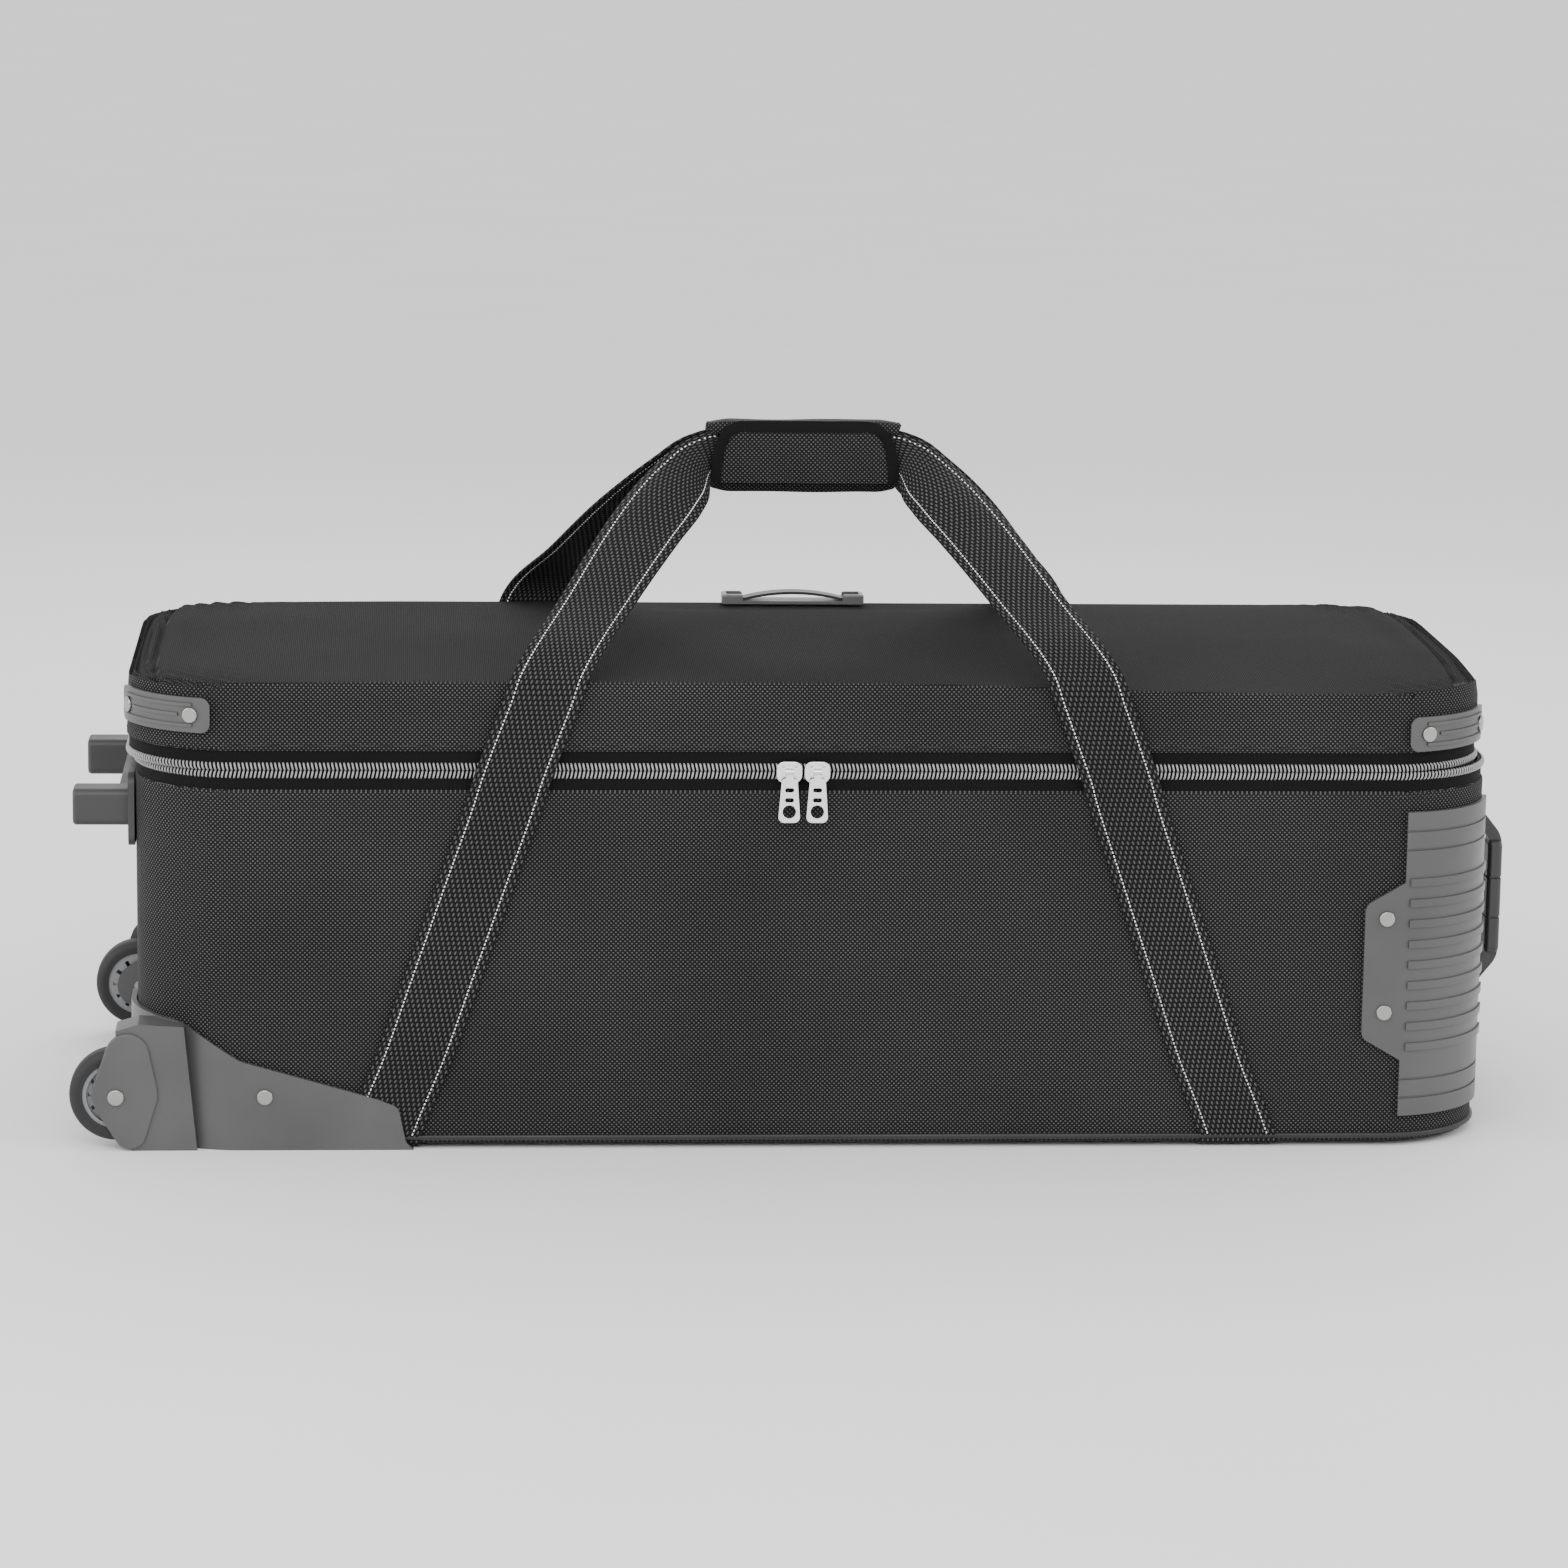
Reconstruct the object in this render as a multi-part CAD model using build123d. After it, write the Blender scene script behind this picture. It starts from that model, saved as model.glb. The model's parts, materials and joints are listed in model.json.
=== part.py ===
from build123d import *
import math
import os

# Long wheeled carry case for bowling balls. Millimetres.
# X runs along the case, wheels at -X and pull handle at +X.
# Y is depth with the zip sliders at the front, -Y. Z is up from the floor.
# The origin is on the floor, under the middle of the whole case.

# ---- Driving dimensions ------------------------------------------------------

# Case
body_length = 1060.0
body_depth = 403.0
corner_radius = 85.0          # vertical corners, outside
glide_height = 3.0            # guards and glides hold the base off the floor
zip_height = 298.5            # middle of the closed zip above the floor
lid_rise = 70.5               # from the middle of the zip to the top of the lid
lid_offset = 6.0              # the closed lid sits this far towards the wheels
wall = 5.0                    # fabric over stiff board
skin = 2.5                    # outer fabric layer of the wall
foam = 14.0                   # padding of the tub
lid_foam_thickness = 10.0
board = 6.0                   # stiff panel in the base
base_edge_radius = 6.0
lid_edge_radius = 9.0

# Zip
chain_width = 12.0            # both rows of coils together
chain_gap = 0.15              # half the gap between the two rows
chain_proud = 0.6
tape_width = 9.0              # plain tape seen on each side of the coils
tape_thickness = 0.8
lip_gap = 0.5                 # half the gap between the two rims inside
hinge_band_height = 13.0
hinge_band_thickness = 1.5
piping_radius = 2.2
piping_height = 9.0           # above the floor

# Inside
ball_diameter = 218.0
bays = 4
divider_thickness = 12.0
divider_height = 200.0
cradle_height = 42.0
cradle_seat_gap = 6.0         # ball above the floor of the tub
cradle_hole = 45.0

# Wheels
wheel_radius = 36.3
wheel_width = 22.0
tyre_thickness = 10.3
bearing_radius = 9.0
bearing_width = 6.0
axle_radius = 4.0
axle_running_gap = 0.06
axle_overhang = 12.3          # axle centre beyond the wheel end of the case
wheel_lift = 6.6              # the wheels clear the floor while the case lies flat
wheel_recess = 1.0            # tyre in front of the front face
wheel_gap = 3.0               # wheel to its housing
hub_slots = 12

# Moulded guards
guard_thickness = 4.0
guard_over_wheel = 23.8       # wheel guard above the top of the wheel
guard_toe = 217.0             # from the wheel end to the tip of the skid
guard_past_corner = 27.0      # wheel guard along the end, past the corner
guard_base_width = 62.0
fender_thickness = 3.5
fork_thickness = 5.0
corner_guard_thickness = 3.5
corner_guard_drop = 16.0      # top of the guard under the rim
corner_guard_bottom = 25.0
corner_guard_ribs = 9
wing_inset = 45.0             # riveted wing above the foot of the guard
wing_slope = 18.0
rib_inset = 10.6              # first and last rib inside the ends of the wing
groove_pitch = 14.8
rib_proud = 1.6
rib_width = 6.0
lid_guard_thickness = 3.2
lid_guard_height = 27.0
lid_guard_rise_wheel_end = 42.5
lid_guard_rise_handle_end = 30.0
ridge_pitch = 8.0
ridge_proud = 1.4
ridge_width = 2.4
rivet_radius = 6.2
rivet_shank = 2.5
rivet_dome = 2.2

# Stand-off feet on the wheel end
foot_length = 43.6
foot_width = 30.0
foot_height = 29.3
foot_drop = 45.1              # middle of the feet under the zip
foot_spacing = 210.8
foot_plate = 5.0
foot_plate_height = 58.0

# Pull handle on the other end
bow_span = 150.0
bow_reach = 41.7
bow_width = 26.0
bow_thickness = 11.0
bow_height = 159.0            # middle of the bow above the floor
bow_travel = 15.0
leg_gap = 0.3
socket_wall = 2.5
socket_depth = 19.0
bow_plate = 4.0

# Small handle on the lid
top_handle_length = 119.0
top_handle_width = 22.0
top_handle_inset = 17.0       # its middle, in from the back of the lid
top_base = 2.5
top_gap = 5.0
top_strap = 2.2
top_cap_length = 18.0
top_cap_height = 8.0
top_lift = 8.0

# Carry straps
strap_thickness = 2.5
strap_half = 30.3             # half the width of the webbing, measured level
strap_foot_x = 334.5          # strap centre at the base
strap_zip_x = 236.5           # strap centre at the zip
strap_crease_x = 204.5        # strap centre at the top edge of the lid
strap_grip_x = 97.0           # strap centre where it enters the grip
strap_clear = 2.0             # free webbing in front of the face
sewn_over_rim = 1.5           # the sewn part ends here
under_strap = 2.4
grip_length = 150.0
grip_height = 48.0
grip_depth = 34.0
grip_wall = 3.0
grip_over_lid = 152.5
bundle_height = 35.0          # webbing folded together inside the grip
bundle_thickness = 9.0
bundle_inset = 4.5
flap_gap = 0.3

# Sliders
slider_meet_x = -11.0
slider_length = 20.0
slider_height = 17.0
slider_plate = 2.6
slider_gap = 0.3
slider_spacing = 21.6
pin_radius = 1.25
pin_running_gap = 0.08
barrel_radius = 2.5
barrel_length = 6.4
pull_length = 39.7            # from its pin down
pull_shoulder = 5.2           # solid plate starts this far under the pin
pull_top_width = 12.4
pull_bottom_width = 16.5
pull_thickness = 1.8

# ---- Sizes that follow -------------------------------------------------------

left_reach = axle_overhang + wheel_radius
right_reach = bow_reach
body_x = (left_reach - right_reach) / 2
left_x = body_x - body_length / 2
right_x = body_x + body_length / 2
front_y = -body_depth / 2
back_y = body_depth / 2
rim_z = zip_height - chain_width / 2 - tape_width
lid_low_z = zip_height + chain_width / 2 + tape_width
lid_top_z = zip_height + lid_rise
floor_z = glide_height + wall
lid_x = body_x - lid_offset
crease_z = lid_top_z + 2.0
tyre_inner_radius = wheel_radius - tyre_thickness
axle_height = wheel_radius + wheel_lift
guard_height = axle_height + wheel_radius + guard_over_wheel
guard_reach = corner_radius + guard_past_corner
corner_guard_edge = corner_radius - 12.0     # plain edge, from the handle end
corner_guard_wing = corner_radius + 19.0     # edge of the wing, from the handle end
corner_guard_top = rim_z - corner_guard_drop
wing_low = corner_guard_bottom + wing_inset
wing_high = corner_guard_top - wing_inset - rib_inset
rib_first = wing_low + rib_inset
rib_pitch = (wing_high - rib_first) / (corner_guard_ribs - 1)
lid_guard_reach = corner_radius - 18.0
foot_centre_height = zip_height - foot_drop
sewn_top = rim_z + sewn_over_rim
loop_hinge_height = sewn_top + 1.0
grip_centre_height = lid_top_z + grip_over_lid
lift = 12.0                   # cutting tools run this far past a face

parts = {}


# ---- Helpers -----------------------------------------------------------------

def slab(offset, z0, z1, x=body_x):
    """Plan outline of the case, grown by offset, from z0 to z1."""
    outline = RectangleRounded(body_length + 2 * offset, body_depth + 2 * offset, corner_radius + offset)
    return extrude(Pos(x, 0, z0) * outline, z1 - z0)


def band(outer, inner, z0, z1, x=body_x):
    """Ring that follows the plan outline."""
    return slab(outer, z0, z1, x) - slab(inner, z0 - 1, z1 + 1, x)


def block(x0, x1, y0, y1, z0, z1):
    centre = Pos((x0 + x1) / 2, (y0 + y1) / 2, (z0 + z1) / 2)
    return centre * Box(x1 - x0, y1 - y0, z1 - z0)


def prism_y(face, y0, y1):
    """Face drawn with X across and Z up, extruded from y1 forward to y0."""
    return extrude(Plane.XZ.offset(-y1) * face, y1 - y0)


def prism_x(face, x0, x1):
    """Face drawn with Y across and Z up, extruded from x0 to x1."""
    return extrude(Plane.YZ.offset(x0) * face, x1 - x0)


def rounded_face(x0, x1, z0, z1, radius):
    return Pos((x0 + x1) / 2, (z0 + z1) / 2) * RectangleRounded(x1 - x0, z1 - z0, radius)


def rod_y(x, z, radius, y0, y1):
    return Pos(x, (y0 + y1) / 2, z) * Rot(90, 0, 0) * Cylinder(radius, y1 - y0)


def rod_x(y, z, radius, x0, x1):
    return Pos((x0 + x1) / 2, y, z) * Rot(0, 90, 0) * Cylinder(radius, x1 - x0)


def back_copy(solid):
    return mirror(solid, about=Plane.XZ)


def corner_place(end, x_mid, angle, z, radius):
    """Frame on a front corner, facing out. angle is 0 at the front and 90 on the end."""
    centre_x = x_mid + end * (body_length / 2 - corner_radius)
    centre_y = front_y + corner_radius
    reach = radius * math.sin(math.radians(angle))
    depth = radius * math.cos(math.radians(angle))
    spot = Vector(centre_x + end * reach, centre_y - depth, z)
    out = Vector(end * math.sin(math.radians(angle)), -math.cos(math.radians(angle)), 0)
    return Plane(origin=spot, z_dir=out)


def rivet_cutter(plane, through):
    return plane * Pos(0, 0, -through / 2) * Cylinder(rivet_shank, through + 0.02)


def rivet(plane, through):
    """Domed head on the plane, with a shank that goes in by through."""
    head = plane * Pos(0, 0, rivet_dome / 2) * Cylinder(rivet_radius, rivet_dome)
    top_edge = head.edges().sort_by(Axis(plane.origin, plane.z_dir))[-1]
    head = fillet(top_edge, rivet_dome * 0.6)
    shank = plane * Pos(0, 0, -through / 2) * Cylinder(rivet_shank, through)
    return head + shank


def cut_all(solid, tools):
    for tool in tools:
        solid = solid - tool
    return solid


# ---- Case --------------------------------------------------------------------

body_rivets = []
body_rivet_holes = []
lid_rivets = []
lid_rivet_holes = []


def add_body_rivet(plane, thickness):
    body_rivets.append(rivet(plane, thickness + wall))
    body_rivet_holes.append(rivet_cutter(plane, thickness + wall))


def add_lid_rivet(plane, thickness):
    lid_rivets.append(rivet(plane, thickness + wall))
    lid_rivet_holes.append(rivet_cutter(plane, thickness + wall))


def front_and_back(plane):
    """The same place on the front face and on the back face."""
    origin = plane.origin
    normal = plane.z_dir
    other = Plane(origin=(origin.X, -origin.Y, origin.Z), z_dir=(normal.X, -normal.Y, normal.Z))
    return [plane, other]


guard_front = front_y - guard_thickness
guard_left = left_x - guard_thickness
corner_face = front_y - corner_guard_thickness
end_face = right_x + corner_guard_thickness

for place in front_and_back(Plane(origin=(left_x + 102.2, guard_front, 42.3), z_dir=(0, -1, 0))):
    add_body_rivet(place, guard_thickness)
end_rivet_y = front_y + guard_reach - 13.0
for place in front_and_back(Plane(origin=(guard_left, end_rivet_y, 60.0), z_dir=(-1, 0, 0))):
    add_body_rivet(place, guard_thickness)
rivet_from_corner = corner_radius + 2.0
for rivet_z in (wing_low + 38.4, wing_high - 28.7):
    on_front = Plane(origin=(right_x - rivet_from_corner, corner_face, rivet_z), z_dir=(0, -1, 0))
    on_end = Plane(origin=(end_face, front_y + rivet_from_corner, rivet_z), z_dir=(1, 0, 0))
    for place in front_and_back(on_front) + front_and_back(on_end):
        add_body_rivet(place, corner_guard_thickness)

lid_guard_rises = {-1: lid_guard_rise_wheel_end, 1: lid_guard_rise_handle_end}
for end, rise in lid_guard_rises.items():
    for angle in (22.0, 68.0):
        seat = corner_place(end, lid_x, angle, zip_height + rise, corner_radius + lid_guard_thickness)
        for place in front_and_back(seat):
            add_lid_rivet(place, lid_guard_thickness)

socket_y = bow_width - 12.0
leg_z = [bow_height - bow_span / 2, bow_height + bow_span / 2]
leg_thickness = bow_thickness
leg_width = socket_y


def socket_box(z, grow, x0, x1):
    half_y = leg_width / 2 + grow
    half_z = leg_thickness / 2 + grow
    return block(x0, x1, -half_y, half_y, z - half_z, z + half_z)


socket_grow = leg_gap + socket_wall
socket_holes = [socket_box(z, socket_grow, right_x - wall - foam - lift, right_x + 1) for z in leg_z]


def make_body_shell():
    shell = slab(0, glide_height, rim_z)
    shell = fillet(shell.faces().sort_by(Axis.Z)[0].edges(), base_edge_radius)
    shell = shell - slab(-wall, floor_z, rim_z + 1)
    shell = shell + band(-skin, -wall, rim_z - 1, zip_height - lip_gap)
    shell = cut_all(shell, body_rivet_holes)
    return cut_all(shell, socket_holes)


parts["body_shell"] = make_body_shell()

inner_length = body_length - 2 * (wall + foam)
inner_depth = body_depth - 2 * (wall + foam)
board_top = floor_z + board
tub_floor = board_top + foam / 2

parts["base_board"] = slab(-wall, floor_z, board_top)

foam_liner = slab(-wall, board_top, zip_height - lip_gap - 2)
foam_liner = foam_liner - slab(-wall - foam, tub_floor, zip_height)
parts["foam_liner"] = cut_all(foam_liner, socket_holes)

bay_length = (inner_length - (bays - 1) * divider_thickness) / bays
bay_pitch = bay_length + divider_thickness
bay_x = [body_x + (i - (bays - 1) / 2) * bay_pitch for i in range(bays)]

for i in range(bays - 1):
    middle = (bay_x[i] + bay_x[i + 1]) / 2
    x0 = middle - divider_thickness / 2
    half = inner_depth / 2
    panel = block(x0, x0 + divider_thickness, -half, half, tub_floor, tub_floor + divider_height)
    top_edges = panel.edges().filter_by(Axis.Y).group_by(Axis.Z)[-1]
    parts["divider_%d" % (i + 1)] = fillet(top_edges, divider_thickness * 0.45)

ball_centre_z = tub_floor + cradle_seat_gap + ball_diameter / 2
cradle_half_x = bay_length / 2 - 18.0
cradle_half_y = cradle_half_x + 14.0
for i in range(bays):
    x = bay_x[i]
    cradle_size = Box(cradle_half_x * 2, cradle_half_y * 2, cradle_height)
    cradle = Pos(x, 0, tub_floor + cradle_height / 2) * cradle_size
    cradle = fillet(cradle.edges().filter_by(Axis.Z), 20)
    cradle = cradle - Pos(x, 0, ball_centre_z) * Sphere(ball_diameter / 2)
    cradle = cradle - Pos(x, 0, tub_floor + cradle_height / 2) * Cylinder(cradle_hole, cradle_height * 2)
    parts["ball_cradle_%d" % (i + 1)] = cradle

piping_ring = slab(piping_radius, piping_height - piping_radius, piping_height + piping_radius)
piping_ring = fillet(piping_ring.edges().group_by(Axis.Z)[-1], piping_radius * 0.9)
piping_ring = fillet(piping_ring.edges().group_by(Axis.Z)[0], piping_radius * 0.9)
parts["base_piping"] = piping_ring - slab(0, 0, rim_z)

# The zip runs round the front and both ends. The back is a cloth hinge.
zip_end_x = body_length / 2 - corner_radius
no_zip = block(body_x - zip_end_x, body_x + zip_end_x, back_y - 30, back_y + 30, rim_z - 1, lid_low_z + 1)

tape_outer = -(skin - tape_thickness)
parts["zip_tape_lower"] = band(tape_outer, -skin, rim_z, zip_height - chain_gap) - no_zip
parts["zip_chain_lower"] = (
    band(chain_proud, tape_outer, zip_height - chain_width / 2, zip_height - chain_gap) - no_zip
)
parts["hinge_band_lower"] = block(
    body_x - zip_end_x + 1,
    body_x + zip_end_x - 1,
    back_y,
    back_y + hinge_band_thickness,
    zip_height - hinge_band_height,
    zip_height - flap_gap,
)

# ---- Carry straps under and up the case ----------------------------------------


def level_strip(points, half_widths):
    """Flat strip face from level cuts. points are (x, height) of its middle."""
    left = [(x - half, z) for (x, z), half in zip(points, half_widths)]
    right = [(x + half, z) for (x, z), half in zip(points, half_widths)]
    return make_face(Polyline(*left, *reversed(right), close=True))


under_z = glide_height - under_strap


def make_lower_strap(side):
    tail_face = level_strip(
        [(side * strap_foot_x, under_z), (side * strap_zip_x, sewn_top)],
        [strap_half, strap_half],
    )
    front = prism_y(tail_face, front_y - strap_thickness, front_y)
    under = block(
        side * strap_foot_x - strap_half,
        side * strap_foot_x + strap_half,
        front_y - strap_thickness,
        back_y + strap_thickness,
        under_z,
        glide_height,
    )
    return front + under + back_copy(front)


def make_guard_outline():
    """Front view of the wheel guard: tall at the corner, low at its toe."""
    points = [
        (guard_left - lift, guard_height),
        (left_x + 38.0, guard_height - 4.0),
        (left_x + 83.0, guard_height - 32.5),
        (left_x + 190.0, 40.0),
        (left_x + 205.0, 34.0),
        (left_x + guard_toe - 6.0, 6.0),
        (left_x + guard_toe, 0.0),
        (guard_left - lift, 0.0),
    ]
    face = make_face(Polyline(*points, close=True))
    rounding = {1: 30.0, 2: 30.0, 3: 18.0, 4: 8.0, 5: 5.0}
    for index, radius in rounding.items():
        corner = face.vertices().sort_by_distance((points[index][0], points[index][1], 0))[0]
        face = fillet(corner, radius)
    return face


axle_x = left_x - axle_overhang
wheel_y0 = front_y - wheel_recess
wheel_y1 = wheel_y0 + wheel_width
fender_y1 = wheel_y0 - 2.0
fender_y0 = fender_y1 - fender_thickness
fork_y0 = wheel_y1 + 2.5
fork_y1 = fork_y0 + fork_thickness


def make_fender():
    """Oval plate over the outer face of the wheel."""
    crown = Pos(axle_x + 9.0, axle_height + wheel_radius - 3.2) * Circle(17.0)
    waist = Pos(axle_x + 7.0, axle_height + 2.0) * Circle(25.5)
    heel = Pos(axle_x + 11.0, axle_height - wheel_radius + 7.4) * Circle(12.5)
    face = make_hull(crown.edges() + waist.edges() + heel.edges())
    plate = prism_y(face, fender_y0, fender_y1 + 0.5)
    return fillet(plate.faces().sort_by(Axis.Y)[0].edges(), 1.6)


def make_wheel_guard():
    shape = make_guard_outline()
    skin_part = band(guard_thickness, 0, glide_height, guard_height + 5)
    skin_part = skin_part & prism_y(shape, front_y - lift, front_y + guard_reach)
    sole = slab(guard_thickness, 0, glide_height)
    sole = sole & prism_y(shape, front_y - lift, front_y + guard_base_width)
    cheek_points = [
        (axle_x, guard_height - 8.0),
        (left_x + 5.0, guard_height - 3.0),
        (left_x + 40.0, guard_height - 5.0),
        (left_x + 50.0, 0.0),
        (left_x, 0.0),
        (axle_x + 6.0, 12.0),
    ]
    cheek = prism_y(make_face(Polyline(*cheek_points, close=True)), guard_front, fork_y1)
    fork_face = make_hull(
        (Pos(axle_x, axle_height) * Circle(18.0)).edges()
        + (Pos(left_x + 30.0, axle_height + 8.0) * Circle(38.0)).edges()
    )
    fork = prism_y(fork_face, fork_y0, fork_y1)
    housing = cheek + fork
    housing = housing - slab(guard_thickness - 1, -1, guard_height + lift)
    well = rod_y(axle_x, axle_height, wheel_radius + wheel_gap, wheel_y0 - 2.0, fork_y0)
    housing = housing - well
    guard = skin_part + sole + housing + make_fender()
    guard = guard - rod_y(axle_x, axle_height, wheel_radius + wheel_gap, fender_y1 + 0.5, fork_y0)
    guard = guard - rod_y(axle_x, axle_height, axle_radius, front_y - 40, front_y + 60)
    guard = guard - slab(0, glide_height, rim_z) - piping_ring
    return cut_all(guard, body_rivet_holes)


wheel_guard_front = make_wheel_guard()
parts["wheel_guard_front"] = wheel_guard_front
parts["wheel_guard_back"] = back_copy(wheel_guard_front)

lower_straps = {"carry_strap_wheel_end": -1, "carry_strap_handle_end": 1}
for name, side in lower_straps.items():
    strap = make_lower_strap(side)
    strap = strap - piping_ring
    strap = strap - parts["wheel_guard_front"]
    strap = strap - parts["wheel_guard_back"]
    parts[name] = strap.solids().sort_by(SortBy.VOLUME)[-1]

glide_x0 = right_x - 150.0
glide_half = 28.0
glides = []
for glide_y in (-body_depth / 2 + 60.0, body_depth / 2 - 60.0):
    pad = block(glide_x0, glide_x0 + 90.0, glide_y - glide_half, glide_y + glide_half, 0, glide_height)
    glides.append(fillet(pad.edges().filter_by(Axis.Z), 12))
parts["base_glides"] = Compound(children=glides)


# ---- Tall ribbed guards on the handle-end corners ------------------------------

def make_corner_guard():
    x_edge = right_x - corner_guard_edge
    x_wing = right_x - corner_guard_wing
    y_edge = front_y + corner_guard_edge
    y_wing = front_y + corner_guard_wing
    slope = wing_slope
    front_points = [
        (x_edge, corner_guard_bottom),
        (x_edge, wing_low),
        (x_wing, wing_low + slope),
        (x_wing, wing_high - slope),
        (x_edge, wing_high),
        (x_edge, corner_guard_top),
        (end_face + lift, corner_guard_top),
        (end_face + lift, corner_guard_bottom),
    ]
    front_face = make_face(Polyline(*front_points, close=True))
    for x, z in (front_points[2], front_points[3]):
        spot = front_face.vertices().sort_by_distance((x, z, 0))[0]
        front_face = fillet(spot, 9.0)
    end_points = [
        (y_edge, corner_guard_bottom),
        (y_edge, wing_low),
        (y_wing, wing_low + slope),
        (y_wing, wing_high - slope),
        (y_edge, wing_high),
        (y_edge, corner_guard_top),
        (corner_face - lift, corner_guard_top),
        (corner_face - lift, corner_guard_bottom),
    ]
    end_shape = make_face(Polyline(*end_points, close=True))
    for y, z in (end_points[2], end_points[3]):
        spot = end_shape.vertices().sort_by_distance((y, z, 0))[0]
        end_shape = fillet(spot, 9.0)
    cutter = prism_y(front_face, front_y - lift, y_wing + lift)
    cutter = cutter & prism_x(end_shape, x_wing - lift, end_face + lift)
    guard = band(corner_guard_thickness, 0, corner_guard_bottom, corner_guard_top) & cutter
    rib_zone = block(x_edge + 4, end_face + lift, corner_face - lift, y_edge - 4, 0, rim_z)
    rib = band(corner_guard_thickness + rib_proud, corner_guard_thickness - 1, 0, rib_width)
    rib = rib & rib_zone
    for i in range(corner_guard_ribs):
        guard = guard + Pos(0, 0, rib_first + i * rib_pitch - rib_width / 2) * rib
    groove = band(corner_guard_thickness + 1, corner_guard_thickness - 1.2, 0, 2.0)
    low = corner_guard_bottom
    high = corner_guard_top
    groove_heights = [low + groove_pitch, low + 2 * groove_pitch]
    groove_heights += [high - 2 * groove_pitch, high - groove_pitch]
    for groove_z in groove_heights:
        guard = guard - Pos(0, 0, groove_z - 1.0) * groove
    return cut_all(guard, body_rivet_holes)


parts["corner_guard_front"] = make_corner_guard()
parts["corner_guard_back"] = back_copy(parts["corner_guard_front"])


# ---- Stand-off feet --------------------------------------------------------------

def make_foot_bracket():
    foot_x0 = left_x - foot_plate - foot_length
    half_y = foot_spacing / 2 + foot_width / 2 + 12.0
    z0 = foot_centre_height - foot_plate_height / 2
    z1 = min(foot_centre_height + foot_plate_height / 2, rim_z - 1)
    plate = prism_x(rounded_face(-half_y, half_y, z0, z1, 10), left_x - foot_plate, left_x)
    web_face = rounded_face(-half_y + 14, half_y - 14, foot_centre_height - 11, foot_centre_height + 11, 5)
    web = prism_x(web_face, left_x - foot_plate - 9.0, left_x - 1)
    bracket = plate + web
    for side in (-1, 1):
        y = side * foot_spacing / 2
        half_z = foot_height / 2
        low_z = foot_centre_height - half_z
        face = rounded_face(y - foot_width / 2, y + foot_width / 2, low_z, low_z + foot_height, 6)
        foot = prism_x(face, foot_x0, left_x - 1)
        foot = fillet(foot.faces().sort_by(Axis.X)[0].edges(), 3)
        bracket = bracket + foot
    return bracket - slab(0, glide_height, rim_z)


parts["foot_bracket"] = make_foot_bracket()


# ---- Pull handle -------------------------------------------------------------------

def make_bow_base():
    half_y = leg_width / 2 + 14.0
    z0 = leg_z[0] - 22.0
    z1 = leg_z[1] + 22.0
    plate = prism_x(rounded_face(-half_y, half_y, z0, z1, 16), right_x, right_x + bow_plate)
    plate = fillet(plate.faces().sort_by(Axis.X)[-1].edges(), 1.6)
    base = plate
    for z in leg_z:
        base = base + socket_box(z, leg_gap + socket_wall, right_x - socket_depth, right_x + 1)
    for z in leg_z:
        base = base - socket_box(z, leg_gap, right_x - socket_depth + socket_wall, right_x + bow_plate + 1)
    return base


def make_bow():
    """Square-shouldered pull handle with three ribbed segments and two legs."""
    x_out = right_x + bow_reach
    x_in = x_out - bow_thickness
    z0 = leg_z[0] - leg_thickness / 2
    z1 = leg_z[1] + leg_thickness / 2
    leg_end = right_x - socket_depth + socket_wall + 0.5
    outside = [
        (leg_end, z0),
        (x_out - 24, z0),
        (x_out, z0 + 30),
        (x_out, z1 - 30),
        (x_out - 24, z1),
        (leg_end, z1),
    ]
    inside = [
        (leg_end - 1, z0 + leg_thickness),
        (x_in - 17, z0 + leg_thickness),
        (x_in, z0 + leg_thickness + 21),
        (x_in, z1 - leg_thickness - 21),
        (x_in - 17, z1 - leg_thickness),
        (leg_end - 1, z1 - leg_thickness),
    ]
    outer = make_face(Polyline(*outside, close=True))
    inner = make_face(Polyline(*inside, close=True))
    for z in (z0 + 30, z1 - 30):
        outer = fillet(outer.vertices().sort_by_distance((x_out, z, 0))[0], 22)
    for z in (z0, z1):
        outer = fillet(outer.vertices().sort_by_distance((x_out - 24, z, 0))[0], 18)
    bow = prism_y(outer - inner, -leg_width / 2, leg_width / 2)
    grip_face = rounded_face(-bow_width / 2, bow_width / 2, z0 + 34, z1 - 34, 5)
    grip = prism_x(grip_face, x_in - 0.8, x_out)
    grip = fillet(grip.edges().filter_by(Axis.Z), 3.5)
    handle = bow + grip
    for z in (bow_height - 16.5, bow_height + 16.5):
        cut = block(x_in - 5, x_out + 5, -bow_width, bow_width, z - 0.9, z + 0.9)
        core = block(x_in + 1.2, x_out - 1.2, -bow_width / 2 + 1.5, bow_width / 2 - 1.5, z - 3, z + 3)
        handle = handle - (cut - core)
    return handle


parts["pull_handle_base"] = make_bow_base()
parts["pull_handle"] = make_bow()

# ---- Wheels ------------------------------------------------------------------------

def make_axle():
    inner_end = fork_y1
    pin = rod_y(axle_x, axle_height, axle_radius, fender_y0, inner_end)
    cap = rod_y(axle_x, axle_height, rivet_radius + 0.3, fender_y0 - rivet_dome, fender_y0)
    cap = fillet(cap.edges().sort_by(Axis.Y)[0], rivet_dome * 0.7)
    return pin + cap


def make_tyre():
    ring = rod_y(axle_x, axle_height, wheel_radius, wheel_y0, wheel_y1)
    rims = [e for e in ring.edges().filter_by(GeomType.CIRCLE)]
    ring = fillet(rims, 6.5)
    return ring - rod_y(axle_x, axle_height, tyre_inner_radius, wheel_y0 - 1, wheel_y1 + 1)


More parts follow.
